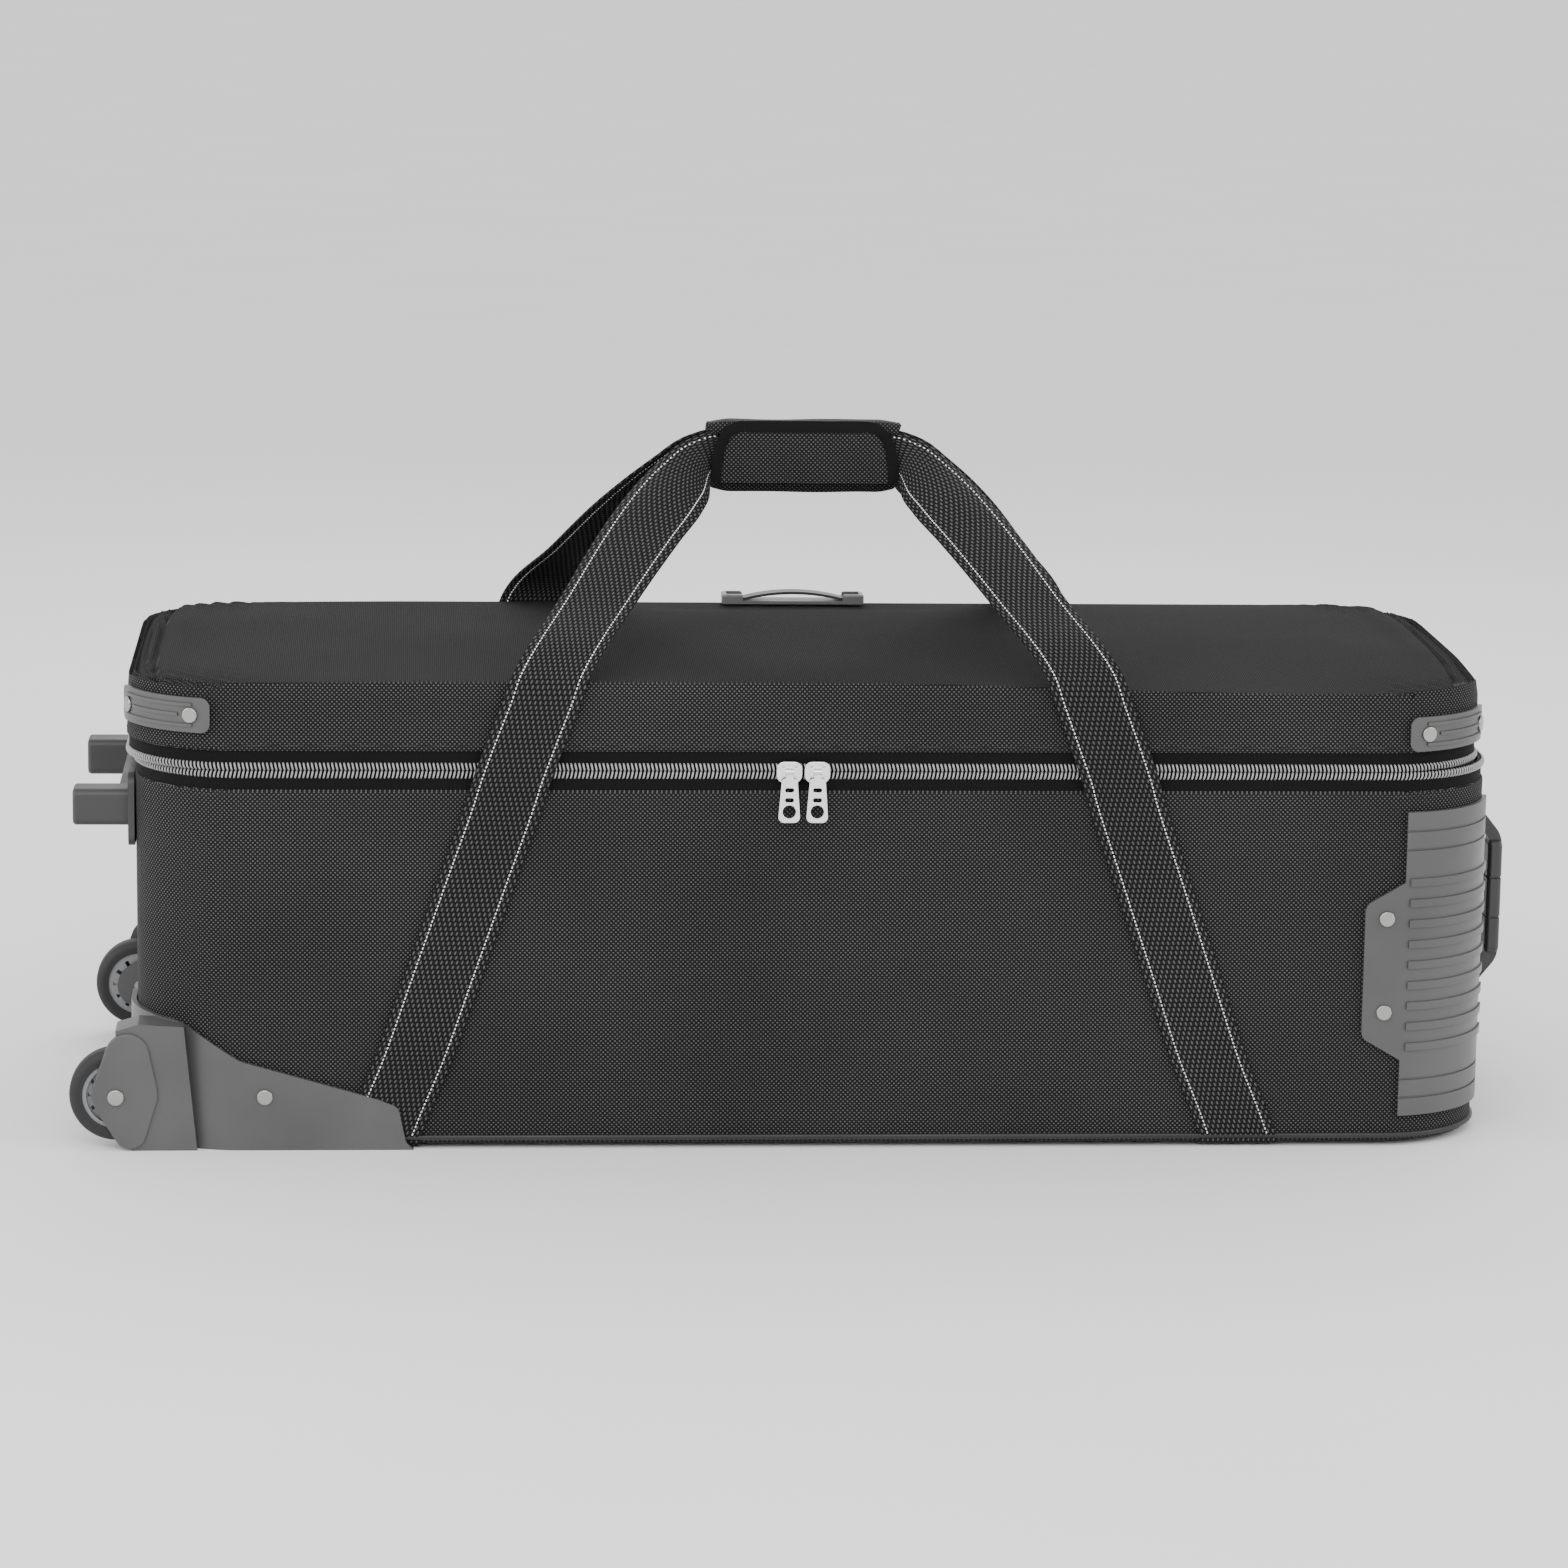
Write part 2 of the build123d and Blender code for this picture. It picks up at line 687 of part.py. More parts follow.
def make_hub():
    hub_y0 = wheel_y0 + 1.0
    hub_y1 = wheel_y1 - 1.0
    hub = rod_y(axle_x, axle_height, tyre_inner_radius, hub_y0, hub_y1)
    dish = rod_y(axle_x, axle_height, tyre_inner_radius - 3.0, hub_y0 - 1, hub_y0 + 3.5)
    dish = dish - rod_y(axle_x, axle_height, bearing_radius + 3.0, hub_y0 - 2, hub_y0 + 5)
    hub = hub - dish
    for i in range(hub_slots):
        slot = Pos(tyre_inner_radius - 8.0, 0, 0) * Box(8.0, wheel_width * 3, 3.2)
        turn = Pos(axle_x, (hub_y0 + hub_y1) / 2, axle_height) * Rot(0, i * 360 / hub_slots, 0)
        hub = hub - turn * slot
    bore = rod_y(axle_x, axle_height, axle_radius + 1.0, wheel_y0 - 1, wheel_y1 + 1)
    hub = hub - bore
    for y0, y1 in bearing_spans():
        hub = hub - rod_y(axle_x, axle_height, bearing_radius, y0, y1)
    return hub


def bearing_spans():
    hub_y0 = wheel_y0 + 1.0
    hub_y1 = wheel_y1 - 1.0
    return [(hub_y0, hub_y0 + bearing_width), (hub_y1 - bearing_width, hub_y1)]


def make_bearings():
    rings = []
    for y0, y1 in bearing_spans():
        ring = rod_y(axle_x, axle_height, bearing_radius, y0, y1)
        rings.append(ring - rod_y(axle_x, axle_height, axle_radius + axle_running_gap, y0 - 1, y1 + 1))
    return Compound(children=rings)


wheel_pieces = {"axle": make_axle(), "tyre": make_tyre(), "hub": make_hub(), "bearings": make_bearings()}
for name, piece in wheel_pieces.items():
    parts[name + "_front"] = piece
    parts[name + "_back"] = back_copy(piece)

parts["case_rivets"] = Compound(children=body_rivets)

# ---- Lid ---------------------------------------------------------------------------

def make_lid_shell():
    shell = slab(0, lid_low_z, lid_top_z, lid_x)
    shell = fillet(shell.faces().sort_by(Axis.Z)[-1].edges(), lid_edge_radius)
    shell = shell - slab(-wall, lid_low_z - 1, lid_top_z - wall, lid_x)
    shell = shell + band(-skin, -wall, zip_height + lip_gap, lid_low_z + 1, lid_x)
    return cut_all(shell, lid_rivet_holes)


parts["lid_shell"] = make_lid_shell()

lid_foam_z = lid_top_z - wall
lid_foam = slab(-wall, zip_height + lip_gap + 2, lid_foam_z, lid_x)
lid_hollow = slab(-wall - lid_foam_thickness, zip_height, lid_foam_z - lid_foam_thickness, lid_x)
parts["lid_foam"] = lid_foam - lid_hollow

no_lid_zip = Pos(-lid_offset, 0, 0) * no_zip
parts["zip_tape_upper"] = band(tape_outer, -skin, zip_height + chain_gap, lid_low_z, lid_x) - no_lid_zip
parts["zip_chain_upper"] = (
    band(chain_proud, tape_outer, zip_height + chain_gap, zip_height + chain_width / 2, lid_x) - no_lid_zip
)
parts["hinge_band_upper"] = block(
    lid_x - zip_end_x + 1,
    lid_x + zip_end_x - 1,
    back_y,
    back_y + hinge_band_thickness,
    zip_height + flap_gap,
    zip_height + hinge_band_height,
)


def make_lid_guard(end, rise):
    z_mid = zip_height + rise
    z0 = z_mid - lid_guard_height / 2
    z1 = z_mid + lid_guard_height / 2
    end_x = lid_x + end * body_length / 2
    far = end_x + end * (lid_guard_thickness + lift)
    near = end_x - end * lid_guard_reach
    face = rounded_face(min(near, far), max(near, far), z0, z1, 7)
    side = rounded_face(front_y - lift, front_y + lid_guard_reach, z0, z1, 7)
    cutter = prism_y(face, front_y - lift, front_y + lid_guard_reach + lift)
    cutter = cutter & prism_x(side, min(near, far) - lift, max(near, far))
    guard = band(lid_guard_thickness, 0, z0 - 1, z1 + 1, lid_x) & cutter
    ridge_end = end_x - end * (lid_guard_reach - 14.0)
    short_end = end_x - end * (lid_guard_reach - 25.0)
    for i, stop in ((-1, ridge_end), (0, short_end), (1, ridge_end)):
        z = z_mid + i * ridge_pitch
        zone_y = front_y + abs(end_x - stop)
        zone = block(min(stop, far), max(stop, far), front_y - lift, zone_y, z - 5, z + 5)
        low = z - ridge_width / 2
        outer = lid_guard_thickness + ridge_proud
        ridge = band(outer, lid_guard_thickness - 1, low, low + ridge_width, lid_x)
        guard = guard + (ridge & zone)
    return cut_all(guard, lid_rivet_holes)


guard_names = {-1: "wheel_end", 1: "handle_end"}
for end, rise in lid_guard_rises.items():
    guard = make_lid_guard(end, rise)
    parts["lid_guard_%s_front" % guard_names[end]] = guard
    parts["lid_guard_%s_back" % guard_names[end]] = back_copy(guard)

parts["lid_rivets"] = Compound(children=lid_rivets)

# ---- Small handle on the lid ---------------------------------------------------------

top_y = back_y - top_handle_inset
top_x0 = -top_handle_length / 2 + 6.0
top_x1 = top_x0 + top_handle_length
cap_half = top_handle_width / 2


def make_top_base():
    strip = block(top_x0, top_x1, top_y - cap_half, top_y + cap_half, lid_top_z, lid_top_z + top_base)
    strip = fillet(strip.edges().filter_by(Axis.Z), 5)
    base = strip
    cap_z = lid_top_z + top_cap_height
    for x0 in (top_x0, top_x1 - top_cap_length):
        cap = block(x0, x0 + top_cap_length, top_y - cap_half, top_y + cap_half, lid_top_z, cap_z)
        cap = fillet(cap.edges().filter_by(Axis.Z), 4)
        cap = fillet(cap.faces().sort_by(Axis.Z)[-1].edges(), 2)
        base = base + cap
    channel_z = lid_top_z + top_base
    slot = block(
        top_x0 + 4,
        top_x1 - 4,
        top_y - cap_half + 3.0,
        top_y + cap_half - 3.0,
        channel_z,
        lid_top_z + top_cap_height + 1,
    )
    return base - slot


def make_top_strap():
    """Springy band: flat feet in the end caps and a shallow arch between them."""
    x0 = top_x0 + 4.5
    x1 = top_x1 - 4.5
    z = lid_top_z + top_base + flap_gap
    rise = z + top_gap
    flat = top_cap_length - 3.0
    middle = (x0 + x1) / 2
    edges = [Line((x0, z), (x0, z + top_strap)), Line((x1, z), (x1, z + top_strap))]
    for side_z, peak in ((z, rise), (z + top_strap, rise + top_strap)):
        edges.append(Line((x0, side_z), (x0 + flat, side_z)))
        edges.append(ThreePointArc((x0 + flat, side_z), (middle, peak), (x1 - flat, side_z)))
        edges.append(Line((x1 - flat, side_z), (x1, side_z)))
    face = make_face(edges)
    half = cap_half - 3.0 - flap_gap
    return prism_y(face, top_y - half, top_y + half)


parts["top_handle_base"] = make_top_base()
parts["top_handle_strap"] = make_top_strap()

# ---- Free carry loops ------------------------------------------------------------------

loop_y = front_y - strap_clear
grip_back_y = -bundle_inset
lean_run = (grip_back_y - bundle_thickness / 2) - (loop_y - strap_thickness)
lean_rise = grip_centre_height - 6.0 - crease_z
lean_length = math.hypot(lean_run, lean_rise)
lean_angle = math.degrees(math.atan2(lean_rise, lean_run))


def make_leg(side):
    upright = level_strip(
        [(side * strap_zip_x, loop_hinge_height + 0.5), (side * strap_crease_x, crease_z)],
        [strap_half, strap_half],
    )
    upright = prism_y(upright, loop_y - strap_thickness, loop_y)
    lean_points = [
        (side * strap_crease_x, 0.0),
        (side * (strap_grip_x + 26.0), lean_length - 50.0),
        (side * strap_grip_x, lean_length),
    ]
    lean = level_strip(lean_points, [strap_half, strap_half - 4.0, 16.0])
    run = Vector(0, math.cos(math.radians(lean_angle)), math.sin(math.radians(lean_angle)))
    up = Vector(1, 0, 0).cross(run)
    plane = Plane(origin=(0, loop_y - strap_thickness, crease_z), x_dir=(1, 0, 0), z_dir=up)
    lean = extrude(plane * lean, -strap_thickness)
    return upright + lean


def make_loop():
    loop = make_leg(-1) + make_leg(1)
    bundle = block(
        -strap_grip_x - 8.0,
        strap_grip_x + 8.0,
        -bundle_inset - bundle_thickness,
        -bundle_inset,
        grip_centre_height - bundle_height / 2,
        grip_centre_height + bundle_height / 2,
    )
    return loop + bundle


front_loop = make_loop()
parts["carry_loop_front"] = front_loop
parts["carry_loop_back"] = back_copy(front_loop)

grip_z0 = grip_centre_height - grip_height / 2
grip_z1 = grip_centre_height + grip_height / 2
grip_half = grip_length / 2
flap_y0 = -grip_depth / 2
flap_y1 = flap_y0 + grip_wall
flap_hinge_y = flap_y0 + grip_wall / 2
flap_hinge_z = grip_z0 + grip_wall / 2


def make_grip_wrap():
    body = block(-grip_half, grip_half, flap_y1 + flap_gap, grip_depth / 2, grip_z0, grip_z1)
    body = fillet(body.edges().filter_by(Axis.X).group_by(Axis.Y)[-1], 9)
    hollow = block(
        -grip_half - 1,
        grip_half + 1,
        flap_y0 - 1,
        bundle_inset + bundle_thickness,
        grip_z0 + grip_wall,
        grip_z1 - grip_wall,
    )
    return body - hollow - parts["carry_loop_back"]


def make_grip_flap():
    half = grip_half - 3.0
    plate = block(-half, half, flap_y0, flap_y1, flap_hinge_z, grip_z1 - 1.5)
    plate = fillet(plate.edges().filter_by(Axis.Y).group_by(Axis.Z)[-1], 14)
    return plate + rod_x(flap_hinge_y, flap_hinge_z, grip_wall / 2, -half, half)


parts["grip_wrap"] = make_grip_wrap()
parts["grip_flap"] = make_grip_flap()

# ---- Zip sliders -------------------------------------------------------------------------

slider_y1 = front_y - chain_proud - slider_gap
slider_y0 = slider_y1 - slider_plate
pin_y = slider_y0 - barrel_radius - 0.4
pin_z = zip_height + 1.0


def make_slider(x):
    low_z = zip_height - slider_height / 2
    face = rounded_face(x - slider_length / 2, x + slider_length / 2, low_z, low_z + slider_height, 6)
    plate = prism_y(face, slider_y0, slider_y1)
    plate = fillet(plate.faces().sort_by(Axis.Y)[0].edges(), 1.2)
    slider = plate
    ear_y = pin_y - pin_radius - 1.2
    for side in (-1, 1):
        x0 = x + side * (barrel_length / 2 + 0.4 + 1.1)
        ear = rounded_face(ear_y, slider_y0 + 1, pin_z - 3.6, pin_z + 3.6, 1.0)
        slider = slider + prism_x(ear, x0 - 1.1, x0 + 1.1)
    half = barrel_length / 2 + 1.5
    return slider + rod_x(pin_y, pin_z, pin_radius, x - half, x + half)


def make_pull(x):
    z0 = pin_z - pull_length
    shoulder_z = pin_z - pull_shoulder - 3.0
    y0 = pin_y - pull_thickness / 2
    half_top = pull_top_width / 2
    half_low = pull_bottom_width / 2
    outline = make_hull(
        (Pos(x - half_top + 3.0, shoulder_z) * Circle(3.0)).edges()
        + (Pos(x + half_top - 3.0, shoulder_z) * Circle(3.0)).edges()
        + (Pos(x - half_low + 4.5, z0 + 4.5) * Circle(4.5)).edges()
        + (Pos(x + half_low - 4.5, z0 + 4.5) * Circle(4.5)).edges()
    )
    for slot_z in (pin_z - 14.2, pin_z - 22.0):
        outline = outline - Pos(x, slot_z) * RectangleRounded(7.0, 3.4, 1.69)
    outline = outline - Pos(x, z0 + 8.6) * Circle(5.2)
    plate = prism_y(outline, y0, y0 + pull_thickness)
    neck_half = barrel_length / 2 - 0.4
    neck = block(x - neck_half, x + neck_half, y0, y0 + pull_thickness, shoulder_z, pin_z)
    barrel = rod_x(pin_y, pin_z, barrel_radius, x - barrel_length / 2, x + barrel_length / 2)
    eye = rod_x(pin_y, pin_z, pin_radius + pin_running_gap, x - barrel_length, x + barrel_length)
    return plate + neck + barrel - eye


slider_sides = {"left": -1, "right": 1}
for name, side in slider_sides.items():
    x = slider_meet_x + side * slider_spacing / 2
    parts["slider_" + name] = make_slider(x)
    parts["pull_" + name] = make_pull(x)

# ---- Files ---------------------------------------------------------------------------------

os.makedirs("parts", exist_ok=True)
for name, solid in parts.items():
    export_step(solid, "parts/%s.step" % name)
    size = solid.bounding_box().size
    print(name, len(solid.solids()), round(size.X, 1), round(size.Y, 1), round(size.Z, 1))

print("middle of the case", body_x, "axle", axle_x, axle_height)
print("slider pin", pin_y, pin_z, "flap hinge", flap_hinge_y, flap_hinge_z)
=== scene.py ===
# %% [markdown]
# # A long wheeled ball case, built around its CAD frame
# The imported CAD model is loaded first and never changed. It gives every rigid piece its
# true shape and place. Cloth, webbing, foam and thread are modelled here, each where the
# CAD keeps a plain solid for it, and most pieces ride on the CAD body that carries them; the
# straps, their stitches and the cloth hinge stay on no body.

# %% Load the frame and keep its box
import bpy
import json
import math
import numpy as np
from mathutils import Matrix, Vector

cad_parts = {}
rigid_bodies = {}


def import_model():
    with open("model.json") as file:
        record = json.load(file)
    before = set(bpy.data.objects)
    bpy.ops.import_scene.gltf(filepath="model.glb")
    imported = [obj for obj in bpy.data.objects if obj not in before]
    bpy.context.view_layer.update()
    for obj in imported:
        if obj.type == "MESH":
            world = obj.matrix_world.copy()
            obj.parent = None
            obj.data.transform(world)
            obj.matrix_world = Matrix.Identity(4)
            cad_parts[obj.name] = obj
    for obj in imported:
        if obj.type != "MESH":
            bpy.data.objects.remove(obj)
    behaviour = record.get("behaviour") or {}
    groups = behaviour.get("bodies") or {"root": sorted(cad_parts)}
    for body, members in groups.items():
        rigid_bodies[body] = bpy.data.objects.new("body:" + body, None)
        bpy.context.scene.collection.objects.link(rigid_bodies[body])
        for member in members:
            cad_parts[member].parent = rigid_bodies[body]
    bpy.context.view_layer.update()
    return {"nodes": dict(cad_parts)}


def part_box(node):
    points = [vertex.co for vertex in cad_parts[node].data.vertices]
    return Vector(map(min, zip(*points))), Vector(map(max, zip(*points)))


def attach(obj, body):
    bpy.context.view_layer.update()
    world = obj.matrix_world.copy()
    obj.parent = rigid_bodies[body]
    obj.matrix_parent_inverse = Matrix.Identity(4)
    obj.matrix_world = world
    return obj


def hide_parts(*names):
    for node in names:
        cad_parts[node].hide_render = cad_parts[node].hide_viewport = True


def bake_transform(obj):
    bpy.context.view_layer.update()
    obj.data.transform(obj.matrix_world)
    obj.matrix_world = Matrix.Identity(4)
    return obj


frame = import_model()
nodes = frame["nodes"]

# %% [markdown]
# ## Camera
# The camera comes first, so that every piece can be judged from the right place. It stands
# about four metres in front of the case, a little left of its middle and a metre up, with a
# long lens, so the case looks almost flat-on with a thin slice of its top and wheel end.

# %% Camera
camera_data = bpy.data.cameras.new("camera")
camera_data.lens = 125.9
camera_data.sensor_width = 36.0
camera_data.clip_start = 0.1
camera_data.clip_end = 60.0
camera = bpy.data.objects.new("camera", camera_data)
bpy.context.scene.collection.objects.link(camera)
pitch, yaw, roll = 0.19087, 0.07032, 0.01512
ahead = Vector((math.sin(yaw) * math.cos(pitch), math.cos(yaw) * math.cos(pitch), -math.sin(pitch)))
level = Vector((math.cos(yaw), -math.sin(yaw), 0.0))
upward = level.cross(ahead)
side = math.cos(roll) * level + math.sin(roll) * upward
top = math.cos(roll) * upward - math.sin(roll) * level
camera.matrix_world = Matrix((
    (side.x, top.x, -ahead.x, -0.31691),
    (side.y, top.y, -ahead.y, -4.33572),
    (side.z, top.z, -ahead.z, 1.08966),
    (0.0, 0.0, 0.0, 1.0),
))
bpy.context.scene.camera = camera
print("camera at", [round(v, 3) for v in camera.matrix_world.translation])

# %% [markdown]
# ## Floor and light
# A pale floor that meets a pale world leaves the dark case standing out. One broad panel
# above and in front gives the cloth its soft sheen, a low one on each side picks out ribs
# and rivets, and none of them is small enough to throw a hard shadow.

# %% Floor, world and softboxes
bpy.ops.mesh.primitive_plane_add(size=70.0, location=(0.0, 0.0, 0.0))
floor = bpy.context.object
floor.name = "floor"

world = bpy.data.worlds.new("studio")
world.use_nodes = True
bpy.context.scene.world = world
world.node_tree.nodes["Background"].inputs["Color"].default_value = (1.0, 1.0, 1.0, 1.0)
world.node_tree.nodes["Background"].inputs["Strength"].default_value = 1.25


def softbox(name, place, aim, width, height, power):
    """A rectangular light panel at place, facing aim."""
    data = bpy.data.lights.new(name, "AREA")
    data.shape = "RECTANGLE"
    data.size, data.size_y, data.energy = width, height, power
    panel = bpy.data.objects.new(name, data)
    bpy.context.scene.collection.objects.link(panel)
    panel.location = place
    panel.rotation_euler = (Vector(aim) - Vector(place)).to_track_quat("-Z", "Y").to_euler()
    return panel


softbox("front_panel", (-0.6, -2.6, 2.3), (0, 0, 0.25), 2.6, 1.4, 46.0)
softbox("left_panel", (-2.6, -1.0, 1.2), (-0.4, 0, 0.2), 1.2, 1.8, 24.0)
softbox("right_panel", (2.6, -1.2, 1.3), (0.4, 0, 0.2), 1.2, 1.8, 20.0)
softbox("back_panel", (0.2, 2.2, 2.2), (0, 0, 0.3), 2.4, 1.0, 30.0)

# %% [markdown]
# ## Materials
# Colours are given as sRGB hex and turned to linear by one function. One small function
# adds a node with its settings and its inputs: a number or colour is set on the socket, and
# a node's output is linked to it. Every pattern's scale comes from a real size in millimetres.

# %% Colour and node helpers
def srgb(code):
    """Linear RGBA of an sRGB hex colour."""
    values = [int(code[i:i + 2], 16) / 255 for i in (1, 3, 5)]
    return [v / 12.92 if v <= 0.04045 else ((v + 0.055) / 1.055) ** 2.4 for v in values] + [1.0]


def add(tree, kind, settings=None, **inputs):
    """Adds a node. Inputs are named by their label in lower case, or in0, in1 by number."""
    node = tree.nodes.new("ShaderNode" + kind)
    for key, value in (settings or {}).items():
        setattr(node, key, value)
    for key, value in inputs.items():
        if key[:2] == "in" and key[2:].isdigit():
            socket = node.inputs[int(key[2:])]
        else:
            socket = node.inputs[key.replace("_", " ").title().replace("Ior", "IOR")]
        if isinstance(value, bpy.types.NodeSocket):
            tree.links.new(value, socket)
        else:
            socket.default_value = value
    return node


def new_material(name, **shader):
    """A material with one principled shader, whose plain values are set on its own sockets."""
    made = bpy.data.materials.new(name)
    made.use_nodes = True
    tree = made.node_tree
    bsdf = tree.nodes["Principled BSDF"]
    for key, value in shader.items():
        bsdf.inputs[key.replace("_", " ").title().replace("Ior", "IOR")].default_value = value
    return made, tree, bsdf


def maths(tree, operation, a, b=0.0):
    """The output of one maths node."""
    return add(tree, "Math", {"operation": operation}, in0=a, in1=b).outputs[0]


def wear(tree, scale, low, high):
    """Slow blotches from low to high, as handling and dust leave them."""
    place = add(tree, "TexCoord").outputs["Object"]
    noise = add(tree, "TexNoise", None, vector=place, scale=scale, detail=3.0)
    ranged = add(tree, "MapRange", None, in0=noise.outputs[0], in1=0.3, in2=0.7, in3=low, in4=high)
    return ranged.outputs[0]


# %% [markdown]
# ### Woven cloth
# The case is coarse nylon in plain weave: fat yarns 1.8 mm apart pass over and under each
# other like a chessboard, so the eye sees slanting rows of bright bumps with dark pits
# between. The cloth's own UV map is in metres along its warp and weft, so the yarns turn the
# corners with it. A cell of the chessboard says which yarn is on top, and a parabola across
# the cell gives the yarn's round back for its bump. The same round back is painted into the
# colour too: a painted highlight on each crest, painted shade in the pits and on the under yarn.

# %% Weave material
def woven(name, pitch, dark, light, bump, rough=0.62, sheen=0.02, gloss=0.05, ribs=False):
    """Cloth of yarns a pitch apart in millimetres. With ribs it is webbing, ribbed crosswise."""
    made, tree, bsdf = new_material(name, roughness=rough, sheen_weight=sheen,
                                    sheen_roughness=0.45, specular_ior_level=gloss)
    uv = add(tree, "TexCoord").outputs["UV"]
    apart = add(tree, "SeparateXYZ", None, vector=uv)
    u = maths(tree, "MULTIPLY", apart.outputs[0], 1000.0 / pitch)
    v = maths(tree, "MULTIPLY", apart.outputs[1], (500.0 if ribs else 1000.0) / pitch)
    cells = maths(tree, "ADD", maths(tree, "FLOOR", u), maths(tree, "FLOOR", v))
    over = maths(tree, "PINGPONG", cells, 1.0)
    backs = []
    for along in (u, v):
        off = maths(tree, "SUBTRACT", maths(tree, "FRACT", along), 0.5)
        squared = maths(tree, "MULTIPLY", off, off)
        backs.append(maths(tree, "SUBTRACT", 1.0, maths(tree, "MULTIPLY", squared, 4.0)))
    both = maths(tree, "MULTIPLY", backs[0], backs[1])
    # The round back also sets the colour: painted highlight on each crest, painted shade on the under yarn
    # and in the pits between.
    top_yarn = maths(tree, "MULTIPLY", both, maths(tree, "ADD", maths(tree, "MULTIPLY", over, 0.85), 0.15))
    yarn = add(tree, "TexNoise", None, vector=uv, scale=900.0, detail=1.0).outputs[0]
    lit = maths(tree, "MULTIPLY", top_yarn, maths(tree, "ADD", maths(tree, "MULTIPLY", yarn, 0.9), 0.55))
    shade = maths(tree, "MULTIPLY", lit, wear(tree, 5.0, 0.82, 1.12))
    ramp = add(tree, "ValToRGB", None, in0=shade)
    ramp.color_ramp.elements[0].color = srgb(dark)
    ramp.color_ramp.elements[1].color = srgb(light)
    tree.links.new(ramp.outputs[0], bsdf.inputs["Base Color"])
    relief = add(tree, "Bump", None, height=top_yarn, strength=bump, distance=0.0004)
    tree.links.new(relief.outputs[0], bsdf.inputs["Normal"])
    return made


# Uncoated nylon yarn is matt with a faint grazing sheen.
case_weave = woven("woven_nylon", 1.8, "#020202", "#5f5f5f", 0.9)
# The lid's top panel is the same cloth drawn tighter and smoother, with a finer, flatter weave; its paler
# colours are painted sheen, where the top panel faces the light.
lid_painted_sheen_weave = woven("woven_nylon_smooth_painted_sheen", 1.5, "#191919", "#4a4a4a", 0.3, 0.8, 0.0, gloss=0.025)
# Woven webbing is denser and darker, with ribs 2 mm apart across it.
webbing = woven("nylon_webbing", 2.0, "#060606", "#5a5a5a", 0.9, 0.6, 0.02, ribs=True)
# Zip tape and binding are fine flat weaves: half-millimetre yarns, drawn at 1 mm to show.
tape_weave = woven("polyester_tape", 1.0, "#0c0c0c", "#242424", 0.4, 0.7, 0.03)
# The lining is thin smooth taffeta.
taffeta = woven("lining_taffeta", 1.2, "#15161a", "#3a3c42", 0.3, 0.45, 0.15)
print("cloths:", [m.name for m in (case_weave, lid_painted_sheen_weave, webbing, tape_weave, taffeta)])

# %% [markdown]
# ### Moulded plastic, rubber and foam
# The guards are injection-moulded ABS with a spark-eroded grain about half a millimetre
# across, satin rather than shiny. The tyres are rubber, which is rougher and darker. The
# cradles' moulded foam is matt, with a skin of cells about a millimetre wide.

# %% Grained materials
def grained(name, colour, pale, rough, grain, bump, coat=0.0, spot=2.0):
    """A matt or satin solid with a fine grain in millimetres and slow handling marks."""
    made, tree, bsdf = new_material(name, coat_weight=coat, coat_roughness=0.3)
    place = add(tree, "TexCoord").outputs["Object"]
    fine = add(tree, "TexNoise", None, vector=place, scale=1000.0 / grain, detail=2.0).outputs[0]
    mixed = add(tree, "MixRGB", None, in0=wear(tree, spot * 6, 0.0, 1.0), in1=srgb(colour), in2=srgb(pale))
    tree.links.new(mixed.outputs[0], bsdf.inputs["Base Color"])
    tree.links.new(wear(tree, spot * 9, rough - 0.06, rough + 0.08), bsdf.inputs["Roughness"])
    relief = add(tree, "Bump", None, height=fine, strength=bump, distance=0.0003)
    tree.links.new(relief.outputs[0], bsdf.inputs["Normal"])
    return made


guard_plastic = grained("moulded_abs", "#444444", "#4e4e4e", 0.42, 0.8, 0.25, 0.15)
foot_plastic = grained("moulded_abs_feet", "#2e2e2e", "#363636", 0.45, 0.8, 0.3)
handle_plastic = grained("moulded_nylon_handle", "#262626", "#2f2f2f", 0.4, 0.8, 0.2, 0.2)
cap_plastic = grained("moulded_abs_caps", "#5a5a5a", "#6c6c6c", 0.3, 0.8, 0.1, 0.3)
hub_plastic = grained("moulded_abs_hub", "#77797b", "#858789", 0.38, 0.8, 0.2, 0.2)
tyre_rubber = grained("tyre_rubber", "#151515", "#242424", 0.62, 0.6, 0.5)
foam_moulded = grained("moulded_eva_foam", "#202226", "#2b2e33", 0.75, 1.2, 0.6)
board_black = grained("hardboard", "#1f1d1b", "#2b2825", 0.8, 1.5, 0.4)
coil_nylon = grained("zip_coil_nylon", "#8a8a8a", "#9c9c9c", 0.12, 0.6, 0.1, 0.8)
piping_vinyl = grained("piping_vinyl", "#161616", "#222222", 0.45, 1.0, 0.3)
thread_white = grained("thread_white", "#f2f2f0", "#ffffff", 0.6, 0.4, 0.3)
thread_black = grained("thread_black", "#101010", "#1c1c1c", 0.55, 0.4, 0.3)

# %% [markdown]
# ### Metal
# Rivets and bearings are nickel-plated steel, and the sliders and pulls are polished zinc
# with bright chrome. Both keep the metal's default IOR, and fine scratches vary the gloss.

